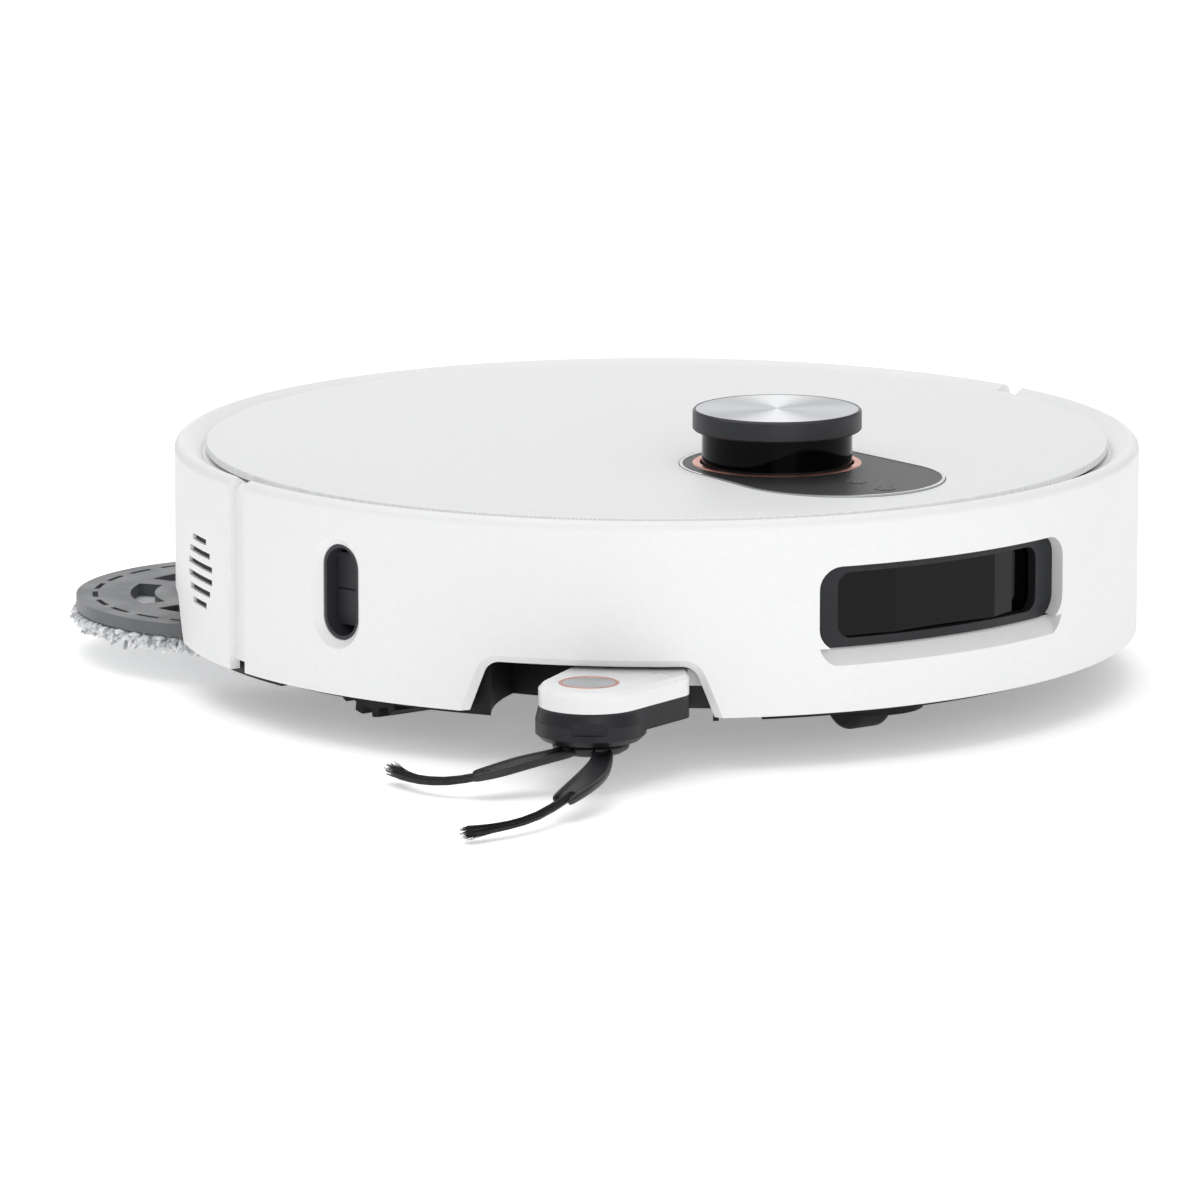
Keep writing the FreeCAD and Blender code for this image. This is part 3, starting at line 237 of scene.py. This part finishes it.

# %% [markdown]
# The control panel is black with a fine dotted press that catches the light in rows, like a twill; the dots
# are sunk and also painted darker than the black between them, which is painted shade in the pits.
# A Voronoi grid with no randomness gives one dot per cell, turned 45 degrees so that the rows run
# diagonally. The dots are drawn at 1.3 mm, a little coarser than real, so that they still show.

# %% Dotted control panel
def dotted_black():
    material, tree, shader = surface("black_abs_dotted_press", "1D1E20", 0.42, IOR=1.5)
    turned = add(tree, "Mapping", {"Vector": here(tree), "Rotation": (0, 0, math.radians(45))})
    dots = add(tree, "TexVoronoi", {"Vector": turned.outputs["Vector"], "Scale": 1 / (1.3 * MM),
                                    "Randomness": 0.0}, voronoi_dimensions="2D")
    edge = add(tree, "MapRange", {"Value": dots.outputs["Distance"], "From Min": 0.22, "From Max": 0.42,
                                  "To Min": 1.0, "To Max": 0.0})
    # dot centres painted darker than the lands: painted shade in the sunk dots
    tint = add(tree, "MixRGB", {"Fac": edge.outputs["Result"], "Color1": linear("2C2D2F"),
                                "Color2": linear("141516")})
    tree.links.new(tint.outputs["Color"], shader.inputs["Base Color"])
    raised(tree, shader, edge.outputs["Result"], -0.08 * MM)
    return material


panel_black = dotted_black()
dress(panel_black, "control_panel", "home_button", "power_button")

# %% [markdown]
# ## Glass-like windows
# The turret's window and the front window are black plastics that let infrared through. They are
# polished, so all that shows is what they reflect: low roughness, nearly black, a faint coat.

# %% Polished infrared windows
def dark_window(name, colour, shine):
    material, tree, shader = surface(name, colour, 0.06, IOR=1.49, Specular_IOR_Level=shine)
    worn(tree, shader, 0.04, 0.09, 18 * MM)
    mottled(tree, shader, colour, "030304", 30 * MM)
    return material


dress(dark_window("black_polycarbonate_turret_window", "010101", 0.1), "turret_window")
dress(dark_window("black_polycarbonate_front_window", "050506", 0.18), "front_glass", "cliff_sensors")

# %% [markdown]
# ## Metal and metallic trims
# The disc on the turret is spun aluminium: its fine circles reflect a lamp as two bright wedges.
# Anisotropy with a radial tangent bends the highlight that way, and faint rings add the grain.

# %% Spun aluminium disc
def spun_aluminium(name, axis_at):
    material, tree, shader = surface(name, "C4C6C9", 0.3, Metallic=1.0, Anisotropic=0.85)
    centred = add(tree, "Mapping", {"Vector": here(tree), "Location": (-axis_at.x, -axis_at.y, 0)})
    rings = add(tree, "TexWave", {"Vector": centred.outputs["Vector"], "Scale": 1 / (0.35 * MM) * WAVE_BAND,
                                  "Distortion": 0.6, "Detail": 2.0},
                wave_type="RINGS", rings_direction="Z")
    tint = add(tree, "MixRGB", {"Fac": rings.outputs["Fac"], "Color1": linear("B4B6B9"),
                                "Color2": linear("CFD1D4")})
    tree.links.new(tint.outputs["Color"], shader.inputs["Base Color"])
    raised(tree, shader, rings.outputs["Fac"], 0.004 * MM)
    tangent = add(tree, "Tangent", direction_type="RADIAL", axis="Z")
    tree.links.new(tangent.outputs["Tangent"], shader.inputs["Tangent"])
    return material


dress(spun_aluminium("spun_aluminium_turret_disc", middle("turret_disc")), "turret_disc")
dress(spun_aluminium("spun_aluminium_arm_badge", middle("arm_badge")), "arm_badge")

# %% [markdown]
# The cap round the disc is painted a satin dark grey with a little metal flake. The thin rings are
# plated in rose copper, bright where they face the light and red-brown where they don't.

# %% Satin cap, rose copper rings, steel
def satin_cap():
    material, tree, shader = surface("graphite_metallic_paint", "2E2F32", 0.38, Metallic=0.35)
    flakes = add(tree, "TexVoronoi", {"Vector": here(tree), "Scale": 1 / (0.5 * MM)})
    tint = add(tree, "MixRGB", {"Fac": flakes.outputs["Distance"], "Color1": linear("35363A"),
                                "Color2": linear("2A2B2E")})
    tree.links.new(tint.outputs["Color"], shader.inputs["Base Color"])
    worn(tree, shader, 0.34, 0.42, 10 * MM)
    return material


def rose_copper():
    material, tree, shader = surface("rose_copper_plating", "DC9E8C", 0.34, Metallic=1.0)
    mottled(tree, shader, "D29380", "E4AC9C", 4 * MM)
    worn(tree, shader, 0.3, 0.4, 5 * MM)
    return material


def plated_steel():
    material, tree, shader = surface("nickel_plated_steel", "A9ABAE", 0.3, Metallic=1.0)
    grain = add(tree, "TexNoise", {"Vector": here(tree), "Scale": 1 / (0.6 * MM), "Detail": 2.0})
    mottled(tree, shader, "9C9EA1", "B3B5B8", 2 * MM)
    raised(tree, shader, grain.outputs["Fac"], 0.01 * MM)
    return material


dress(satin_cap(), "turret_cap")
dress(rose_copper(), "turret_ring", "arm_badge_ring")
dress(plated_steel(), "pivot_pins", "caster_axle", "screws", "charging_contacts")

# %% [markdown]
# ## Wheels, rollers and mop plates
# Tyres and roller fins are rubber: matt, slightly dusty on the high spots. The mop plates are a
# mid-grey ABS that shows a little wear where hands press the pads on.

# %% Rubber and mop plates
def rubber(name, dark, light, rough):
    material, tree, shader = surface(name, light, rough, IOR=1.52)
    mottled(tree, shader, dark, light, 5 * MM)
    grain = add(tree, "TexNoise", {"Vector": here(tree), "Scale": 1 / (0.5 * MM), "Detail": 4.0})
    worn(tree, shader, rough - 0.08, rough + 0.06, 8 * MM)
    raised(tree, shader, grain.outputs["Fac"], 0.05 * MM)
    return material


def plate_grey():
    material, tree, shader = surface("grey_abs_mop_plate", "606265", 0.48, IOR=1.53)
    mottled(tree, shader, "56585B", "66686B", 14 * MM)
    worn(tree, shader, 0.34, 0.5, 20 * MM)
    grain = add(tree, "TexNoise", {"Vector": here(tree), "Scale": 1 / (0.8 * MM), "Detail": 2.0})
    raised(tree, shader, grain.outputs["Fac"], 0.03 * MM)
    return material


dress(rubber("black_nitrile_tyre", "131314", "1E1E1F", 0.68), "tyre_left", "tyre_right", "caster_wheel")
dress(rubber("graphite_elastomer_roller", "2A2A2D", "38383B", 0.55), "main_brush_fins")
dress(dark_plastic("charcoal_nylon_roller_core", "1E1F21", "27282A", 0.45), "main_brush_core")
dress(plate_grey(), "mop_plate_left", "mop_plate_right")

# %% [markdown]
# ## Inner parts
# They show only when the cover is off or from below, but each still gets its own finish: a green
# board, a smoked bin and tank, and a pleated paper filter.

# %% Board, bin, tank and filter
def circuit_board():
    material, tree, shader = surface("green_solder_mask", "1F5A38", 0.35, IOR=1.5, Coat_Weight=0.3)
    tracks = add(tree, "TexBrick", {"Vector": here(tree), "Scale": 1 / (14 * MM), "Mortar Size": 0.02,
                                    "Color1": linear("1D5434"), "Color2": linear("236341"),
                                    "Mortar": linear("3C8F5F")})
    tree.links.new(tracks.outputs["Color"], shader.inputs["Base Color"])
    return material


def smoked_plastic():
    material, tree, shader = surface("smoked_polycarbonate", "3A3D42", 0.2, IOR=1.58)
    mottled(tree, shader, "33363B", "42464B", 30 * MM)
    worn(tree, shader, 0.16, 0.28, 18 * MM)
    return material


def filter_paper():
    material, tree, shader = surface("pleated_filter_paper", "DADBD8", 0.85)
    pleats = add(tree, "TexWave", {"Vector": here(tree), "Scale": 1 / (3 * MM) * WAVE_BAND},
                 bands_direction="X")
    mottled(tree, shader, "D2D3D0", "E2E3E0", 4 * MM)
    raised(tree, shader, pleats.outputs["Fac"], 0.8 * MM)
    return material


dress(circuit_board(), "main_board")
dress(smoked_plastic(), "dust_bin", "water_tank")
dress(filter_paper(), "bin_filter")

# %% [markdown]
# ## The mop pads
# A mop pad is chenille: thousands of soft microfibre worms tufted into a backing. At the rim they
# point outwards and droop, and below they hang. Each worm here is a short bent tube of few faces;
# rings of them, nudged at random from a fixed seed, make the pile.

# %% One chenille worm
def worm(mesh, root, course, bend, length, radius, sides=5, steps=4):
    """Add a bent, round-ended tube to a bmesh."""
    course = course.normalized()
    across = course.cross(Vector((0, 0, 1)))
    across = across.normalized() if across.length > 0.1 else Vector((1, 0, 0))
    over = across.cross(course)
    last = None
    for step in range(steps + 1):
        share = step / steps
        centre = root + course * (length * share) + bend * (share * share)
        swell = radius * (0.75 if step == 0 else 1.0 if step < steps else 0.6)
        ring = []
        for side in range(sides):
            angle = 2 * math.pi * side / sides
            outward = across * math.cos(angle) + over * math.sin(angle)
            ring.append(mesh.verts.new(centre + outward * swell))
        if last:
            for side in range(sides):
                after = (side + 1) % sides
                mesh.faces.new((last[side], last[after], ring[after], ring[side]))
        else:
            mesh.faces.new(list(reversed(ring)))
        last = ring
    mesh.faces.new(last)


# %% Chenille material
def chenille():
    material, tree, shader = surface("microfibre_chenille", "D3D5D8", 0.9, Sheen_Weight=0.35,
                                     Sheen_Roughness=0.4)
    tuft = add(tree, "Attribute", attribute_name="tuft")
    tint = add(tree, "ValToRGB", {"Fac": tuft.outputs["Fac"]})
    ramp = tint.color_ramp
    ramp.elements[0].color = linear("A4A7AB")
    ramp.elements[1].color = linear("FAFAFB")
    ramp.elements.new(0.35).color = linear("DCDEE0")
    tree.links.new(tint.outputs["Color"], shader.inputs["Base Color"])
    fibre = add(tree, "TexNoise", {"Vector": here(tree), "Scale": 1 / (0.5 * MM), "Detail": 4.0})
    raised(tree, shader, fibre.outputs["Fac"], 0.25 * MM)
    return material


chenille_white = chenille()


# %% Build both pads
def chenille_pad(node_name, body, seed):
    low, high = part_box(node_name)
    centre = (low + high) / 2
    reach = (high.x - low.x) / 2
    rng = random.Random(seed)
    mesh = bmesh.new()
    backing = reach - 5 * MM
    bmesh.ops.create_cone(mesh, cap_ends=True, segments=72, radius1=backing, radius2=backing, depth=2.2 * MM,
                          matrix=Matrix.Translation((centre.x, centre.y, high.z - 1.2 * MM)))
    starts = [len(mesh.verts)]
    shades = [0.3]

    def tuft(angle, at, height, course, bend, length, radius):
        spot = Vector((centre.x + at * math.cos(angle), centre.y + at * math.sin(angle), height))
        worm(mesh, spot, course, bend, length, radius)
        starts.append(len(mesh.verts))
        shades.append(rng.random())

    for row, (inset, height, droop) in enumerate(((3.2, -1.3, 1.0), (4.0, -2.6, 2.0), (5.5, -3.8, 2.2))):
        count = 330
        for index in range(count):
            angle = 2 * math.pi * (index + 0.5 * (row % 2) + rng.uniform(-0.4, 0.4)) / count
            lean = angle + rng.uniform(-0.9, 0.9)
            course = Vector((math.cos(lean), math.sin(lean), rng.uniform(-0.5, 0.25)))
            bend = Vector((rng.uniform(-1, 1), rng.uniform(-1, 1), -droop * rng.uniform(0.2, 1.0))) * MM
            tuft(angle, reach - (inset + 1.5) * MM, high.z + height * MM, course, bend,
                 rng.uniform(3.0, 4.8) * MM, rng.uniform(0.7, 1.0) * MM)
    at = 2.5 * MM
    while at < reach - 5 * MM:
        count = max(6, int(2 * math.pi * at / (3.1 * MM)))
        for index in range(count):
            angle = 2 * math.pi * (index + rng.uniform(-0.3, 0.3)) / count
            course = Vector((rng.uniform(-0.8, 0.8), rng.uniform(-0.8, 0.8), -1))
            bend = Vector((rng.uniform(-1.4, 1.4), rng.uniform(-1.4, 1.4), 0.3)) * MM
            tuft(angle, at, high.z - 2.2 * MM, course, bend, rng.uniform(2.4, 3.4) * MM,
                 rng.uniform(0.65, 0.9) * MM)
        at += 2.9 * MM
    data = bpy.data.meshes.new(node_name + "_pile")
    mesh.to_mesh(data)
    mesh.free()
    values = [0.0] * len(data.vertices)
    for first, last, shade in zip([0] + starts[:-1], starts, shades):
        values[first:last] = [shade] * (last - first)
    data.attributes.new("tuft", "FLOAT", "POINT").data.foreach_set("value", values)
    data.polygons.foreach_set("use_smooth", [True] * len(data.polygons))
    pad = bpy.data.objects.new(node_name + "_pile", data)
    bpy.context.scene.collection.objects.link(pad)
    data.materials.append(chenille_white)
    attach(pad, body)
    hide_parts(node_name)
    print(pad.name, len(shades), "worms")
    return pad


chenille_pad("mop_pad_right", "mop_right", 11)
chenille_pad("mop_pad_left", "mop_left", 12)

# %% [markdown]
# ## The side brush
# Two arms of soft elastomer leave a hub. Each is a channelled blade, a floor with a lip along each
# side, that bends down and ends in a fork round a bundle of nylon bristles. The blade is a coarse
# cage with live subdivision, the hub is turned, and the bristles are thin tubes that start
# together and drift apart.

# %% Elastomer and nylon
def elastomer():
    material, tree, shader = surface("black_thermoplastic_elastomer", "1C1D20", 0.42, IOR=1.5)
    mottled(tree, shader, "17181A", "212226", 4 * MM)
    grain = add(tree, "TexNoise", {"Vector": here(tree), "Scale": 1 / (0.6 * MM), "Detail": 2.0})
    worn(tree, shader, 0.36, 0.5, 7 * MM)
    raised(tree, shader, grain.outputs["Fac"], 0.03 * MM)
    return material


def nylon():
    material, tree, shader = surface("black_nylon_bristle", "131416", 0.38, IOR=1.53)
    mottled(tree, shader, "0D0E0F", "1D1E21", 1.5 * MM)
    return material


brush_elastomer = elastomer()
bristle_nylon = nylon()

# %% Curve helper: a smooth path through a few points
def along(points, share):
    """Point on a Catmull-Rom curve through the points, share from 0 to 1."""
    spans = len(points) - 1
    at = min(share * spans, spans - 1e-6)
    index = int(at)
    t = at - index
    knots = [points[0] * 2 - points[1]] + list(points) + [points[-1] * 2 - points[-2]]
    p0, p1, p2, p3 = knots[index:index + 4]
    return 0.5 * (2 * p1 + (p2 - p0) * t + (2 * p0 - 5 * p1 + 4 * p2 - p3) * t * t
                  + (3 * p1 - p0 - 3 * p2 + p3) * t ** 3)


# %% Brush hub and blades
pod = middle("side_brush_motor")
BLADES = [
    # path of each blade from the hub, then on along its bristles, in mm from the brush's axis
    [Vector((-9, -3, 13.4)), Vector((-17, -5, 13.0)), Vector((-27, 0, 10.8)), Vector((-37, 1, 9.0)),
     Vector((-43, 4, 7.5)), Vector((-51, 11, 5.6)), Vector((-55, 21, 4.6)), Vector((-55.5, 32, 4.4)),
     Vector((-54, 42, 4.8))],
    [Vector((-2, -9, 13.4)), Vector((-8, -19, 12.8)), Vector((-21, -32, 11.0)), Vector((-32, -38, 8.8)),
     Vector((-39, -41, 7.2)), Vector((-54, -48, 5.2)), Vector((-67, -51, 4.2)), Vector((-79, -51, 3.8)),
     Vector((-87, -51, 3.6))],
]
BLADE_END = 4
WIDTHS = [4.2, 3.4, 5.6, 5.2, 4.4]


def placed(point):
    """A point of the brush in the machine's frame."""
    return Vector((pod.x + point.x * MM, pod.y + point.y * MM, point.z * MM))


def link_mesh(name, mesh, material, smooth=True):
    data = bpy.data.meshes.new(name)
    bmesh.ops.recalc_face_normals(mesh, faces=mesh.faces)
    mesh.to_mesh(data)
    mesh.free()
    data.polygons.foreach_set("use_smooth", [smooth] * len(data.polygons))
    data.materials.append(material)
    piece = bpy.data.objects.new(name, data)
    bpy.context.scene.collection.objects.link(piece)
    return piece


def smoothed(piece, levels):
    """Live subdivision, the same in the view and in the render."""
    smooth = piece.modifiers.new("smooth", "SUBSURF")
    smooth.levels = levels
    smooth.render_levels = levels


def turned(name, profile, centre, material, segments=48):
    """Turned piece: a half profile of (radius, height) in mm, spun by a Screw and then put in place."""
    mesh = bmesh.new()
    points = [mesh.verts.new((radius * MM, 0, height * MM)) for radius, height in profile]
    for first, second in zip(points, points[1:]):
        mesh.edges.new((first, second))
    data = bpy.data.meshes.new(name)
    mesh.to_mesh(data)
    mesh.free()
    piece = bpy.data.objects.new(name, data)
    bpy.context.scene.collection.objects.link(piece)
    spin = piece.modifiers.new("spin", "SCREW")
    spin.steps = segments
    spin.render_steps = segments
    spin.use_merge_vertices = True
    spin.merge_threshold = 0.00001
    graph = bpy.context.evaluated_depsgraph_get()
    piece.data = bpy.data.meshes.new_from_object(piece.evaluated_get(graph))
    piece.modifiers.clear()
    piece.data.transform(Matrix.Translation((centre.x, centre.y, 0)))
    solid = bmesh.new()
    solid.from_mesh(piece.data)
    bmesh.ops.recalc_face_normals(solid, faces=solid.faces)
    solid.to_mesh(piece.data)
    solid.free()
    piece.data.polygons.foreach_set("use_smooth", [True] * len(piece.data.polygons))
    piece.data.materials.append(material)
    return piece


def channel(mesh, path, widths):
    """Cage of a channelled blade: a floor with a lip along each side, and two prongs at its end."""
    rings = []
    for index, (point, half) in enumerate(zip(path, widths)):
        before, after = path[max(index - 1, 0)], path[min(index + 1, len(path) - 1)]
        course = (after - before).normalized()
        across = course.cross(Vector((0, 0, 1))).normalized()
        over = across.cross(course)
        lip = min(1.7, half * 0.4)
        outline = [(-half, 0), (lip - half, 0), (half - lip, 0), (half, 0), (half, 3.0), (half - lip, 3.2),
                   (half - lip, 1.5), (lip - half, 1.5), (lip - half, 3.2), (-half, 3.0)]
        rings.append([mesh.verts.new(point + (across * out + over * (rise - 1.2)) * MM)
                      for out, rise in outline])
    for last, ring in zip(rings, rings[1:]):
        for side in range(10):
            after = (side + 1) % 10
            mesh.faces.new((last[side], last[after], ring[after], ring[side]))
    mesh.faces.new(list(reversed(rings[0])))
    end = rings[-1]
    course = (path[-1] - path[-2]).normalized()
    mesh.faces.new([end[1], end[2], end[6], end[7]])
    for keys, length in (((0, 1, 7, 8, 9), 3.6), ((2, 3, 4, 5, 6), 2.2)):
        root = [end[key] for key in keys]
        centre = sum((corner.co for corner in root), Vector()) / 5
        tip = [mesh.verts.new(centre + (corner.co - centre) * 0.72 + course * length * MM)
               for corner in root]
        for side in range(5):
            after = (side + 1) % 5
            mesh.faces.new((root[side], root[after], tip[after], tip[side]))
        mesh.faces.new(tip)


def side_brush():
    outline = [(0, 11.2), (8, 11.2), (11, 11.7), (13, 13.0), (13.4, 14.4), (12.8, 15.3), (5, 15.5),
               (3, 16.6), (3, 23.8), (0, 23.8)]
    hub = turned("side_brush_hub", outline, pod, brush_elastomer)
    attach(hub, "side_brush")
    mesh = bmesh.new()
    for path in BLADES:
        channel(mesh, [placed(point) for point in path[:BLADE_END + 1]], WIDTHS)
    blades = link_mesh("side_brush_blades", mesh, brush_elastomer)
    smoothed(blades, 2)
    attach(blades, "side_brush")
    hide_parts("side_brush")


side_brush()


# %% Bristle bundles
BRISTLES = 150  # in each bundle


def bristles():
    rng = random.Random(5)
    mesh = bmesh.new()
    for path in BLADES:
        route = [placed(p) for p in path[BLADE_END - 1:]]
        for index in range(BRISTLES):
            angle = rng.uniform(0, 2 * math.pi)
            off = math.sqrt(rng.random())
            splay = rng.uniform(0.4, 1.5)
            last = None
            ends = rng.uniform(0.92, 1.0)
            for step in range(9):
                share = (0.1 + 0.9 * step / 8) * ends
                centre = along(route, share)
                course = (along(route, min(share + 0.02, 1)) - along(route, share - 0.02)).normalized()
                across = course.cross(Vector((0, 0, 1))).normalized()
                over = across.cross(course)
                spread = (1.15 + 0.5 * share + 3.0 * max(0.0, share - 0.7) * splay) * MM * off
                centre = centre + across * math.cos(angle) * spread * 1.3
                centre = centre + over * math.sin(angle) * spread
                thick = 0.2 * MM * (1.25 - 0.75 * share)
                ring = [mesh.verts.new(centre + (across * math.cos(a) + over * math.sin(a)) * thick)
                        for a in (0, 2.094, 4.189)]
                if last:
                    for side in range(3):
                        after = (side + 1) % 3
                        mesh.faces.new((last[side], last[after], ring[after], ring[side]))
                else:
                    mesh.faces.new(list(reversed(ring)))
                last = ring
            mesh.faces.new(last)
    piece = link_mesh("side_brush_bristle_bundles", mesh, bristle_nylon)
    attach(piece, "side_brush")
    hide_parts("side_brush_bristles")
    print(piece.name, len(piece.data.polygons), "faces")


bristles()

# %% [markdown]
# ## Marks on the buttons
# Two touch points sit in the panel: home and power. Thin printed rings with a plain house and a
# plain power bar tell them apart. They are shallow raised inks that ride on the buttons.

# %% Button marks
def ink():
    material, tree, shader = surface("pale_grey_pad_print", "85878A", 0.5)
    mottled(tree, shader, "7A7C7F", "909295", 1.0 * MM)
    return material


pad_print = ink()


def stroke(mesh, points, width, z0, z1, closed=False):
    """Raised line of a given width through flat points."""
    pairs = list(zip(points, points[1:] + points[:1] if closed else points[1:]))
    for a, b in pairs:
        way = (b - a).normalized()
        side = Vector((-way.y, way.x)) * width / 2
        ends = [a - way * width / 4 + side, b + way * width / 4 + side,
                b + way * width / 4 - side, a - way * width / 4 - side]
        low = [mesh.verts.new((p.x, p.y, z0)) for p in ends]
        high = [mesh.verts.new((p.x, p.y, z1)) for p in ends]
        mesh.faces.new(low)
        mesh.faces.new(list(reversed(high)))
        for k in range(4):
            mesh.faces.new((low[k], high[k], high[(k + 1) % 4], low[(k + 1) % 4]))


def button_mark(name, body, glyph):
    low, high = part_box(name)
    centre = (low + high) / 2
    mesh = bmesh.new()
    z0, z1 = high.z - 0.02 * MM, high.z + 0.05 * MM
    ring = [Vector((centre.x + 3.4 * MM * math.cos(2 * math.pi * k / 40),
                    centre.y + 3.4 * MM * math.sin(2 * math.pi * k / 40))) for k in range(40)]
    stroke(mesh, ring, 0.36 * MM, z0, z1, closed=True)
    for line in glyph:
        points = [Vector((centre.x + x * MM, centre.y + y * MM)) for x, y in line]
        stroke(mesh, points, 0.36 * MM, z0, z1)
    piece = link_mesh(name + "_mark", mesh, pad_print, smooth=False)
    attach(piece, body)


button_mark("home_button", "home_button", [[(-1.3, 0.1), (0, 1.3), (1.3, 0.1)],
                                           [(-0.9, 0.1), (-0.9, -1.2), (0.9, -1.2), (0.9, 0.1)]])
button_mark("power_button", "power_button", [[(0, 0.4), (0, 1.5)], [(-0.9, 0.8), (-1.3, -0.2), (-0.7, -1.1),
                                             (0.7, -1.1), (1.3, -0.2), (0.9, 0.8)]])

# %% [markdown]
# ## Dark sheets behind the vents: painted shade
# Behind each slot of the rear shell sits a dark sheet of black plastic, a little below the surface. It is
# painted shade:
# it stands in for the dark inside of the slot, so the slot shows as a crisp dark line with a lit lower lip.

# %% Vent shade sheets: painted shade behind the slots
VENT_BEARING = 104
VENT_TOP = 60.2
VENT_PITCH = 4.6
VENT_LENGTHS = (15, 22, 26, 26, 22, 15)
SHADE_SHEET_RADIUS = 0.1734


def painted_vent_shade(side):
    mesh = bmesh.new()
    for row, length in enumerate(VENT_LENGTHS):
        height = (VENT_TOP - VENT_PITCH * row) * MM
        half = (length + 0.4) * MM / 2 / SHADE_SHEET_RADIUS
        last = None
        for step in range(9):
            angle = side * math.radians(VENT_BEARING) - half + 2 * half * step / 8
            place = Vector((-SHADE_SHEET_RADIUS * math.sin(angle), -SHADE_SHEET_RADIUS * math.cos(angle), height))
            ring = [mesh.verts.new(place + Vector((0, 0, rise * MM))) for rise in (-1.3, 1.3)]
            if last:
                mesh.faces.new((last[0], ring[0], ring[1], last[1]))
            last = ring
    name = "vent_painted_shade_right" if side > 0 else "vent_painted_shade_left"
    # a sheet of black plastic behind the slots: painted shade inside the vents
    piece = link_mesh(name, mesh, chassis_black, smooth=False)
    thick = piece.modifiers.new("thick", "SOLIDIFY")
    thick.thickness = 0.5 * MM
    thick.offset = 0
    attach(piece, "base")


painted_vent_shade(1)
painted_vent_shade(-1)

# %% [markdown]
# ## Floor, light and camera
# A product of white plastic needs a pale floor and broad, soft lamps: one large panel overhead, a
# low one in front to fill the shaded side, and a weak one behind that gives the aluminium disc its
# bright wedges. The floor glows a little, which keeps its shadow soft and lifts the lower edge.

# %% Floor
bpy.ops.mesh.primitive_plane_add(size=40)
floor = bpy.context.object
floor.name = "studio_floor"
floor_paper, _, floor_shader = surface("white_paper_floor", "FFFFFF", 0.9)
floor_shader.inputs["Emission Color"].default_value = linear("FFFFFF")
floor_shader.inputs["Emission Strength"].default_value = 0.34
floor.data.materials.append(floor_paper)

# %% World
world = bpy.data.worlds.new("soft_studio")
bpy.context.scene.world = world
world.use_nodes = True
world.node_tree.nodes["Background"].inputs["Color"].default_value = (1, 1, 1, 1)
world.node_tree.nodes["Background"].inputs["Strength"].default_value = 0.46


# %% Lamps
def lamp(name, at, towards, size, power):
    data = bpy.data.lights.new(name, "AREA")
    data.shape = "RECTANGLE"
    data.size, data.size_y = size
    data.energy = power
    made = bpy.data.objects.new(name, data)
    made.location = at
    made.rotation_euler = (Vector(towards) - Vector(at)).to_track_quat("-Z", "Y").to_euler()
    made.visible_camera = False
    bpy.context.scene.collection.objects.link(made)
    return made


lamp("overhead_panel", (0, 0.3, 1.8), (0, 0, 0), (2.2, 2.2), 21.5)
lamp("front_panel", (-0.75, -1.8, 0.6), (0, 0, 0.05), (1.2, 0.8), 8)
lamp("back_panel", (1.5, 2.1, 0.55), (0, 0, 0.08), (2.4, 0.9), 6)

# %% Camera
AZIMUTH = math.radians(-35.386)
ELEVATION = math.radians(10.734)
DISTANCE = 2.8964
target = Vector((0, 0, 0.045))
back = Vector((math.sin(AZIMUTH) * math.cos(ELEVATION), -math.cos(AZIMUTH) * math.cos(ELEVATION),
               math.sin(ELEVATION)))
right = Vector((math.cos(AZIMUTH), math.sin(AZIMUTH), 0))
up = back.cross(right)
aim = target + right * -0.02053 + up * -0.01885
camera_data = bpy.data.cameras.new("camera")
camera_data.lens = 238.5
camera_data.sensor_width = 36
camera_data.clip_end = 100
camera = bpy.data.objects.new("camera", camera_data)
camera.location = target + back * DISTANCE
camera.rotation_euler = (aim - camera.location).to_track_quat("-Z", "Y").to_euler()
bpy.context.scene.collection.objects.link(camera)
bpy.context.scene.camera = camera
bpy.context.scene.view_settings.view_transform = "Standard"
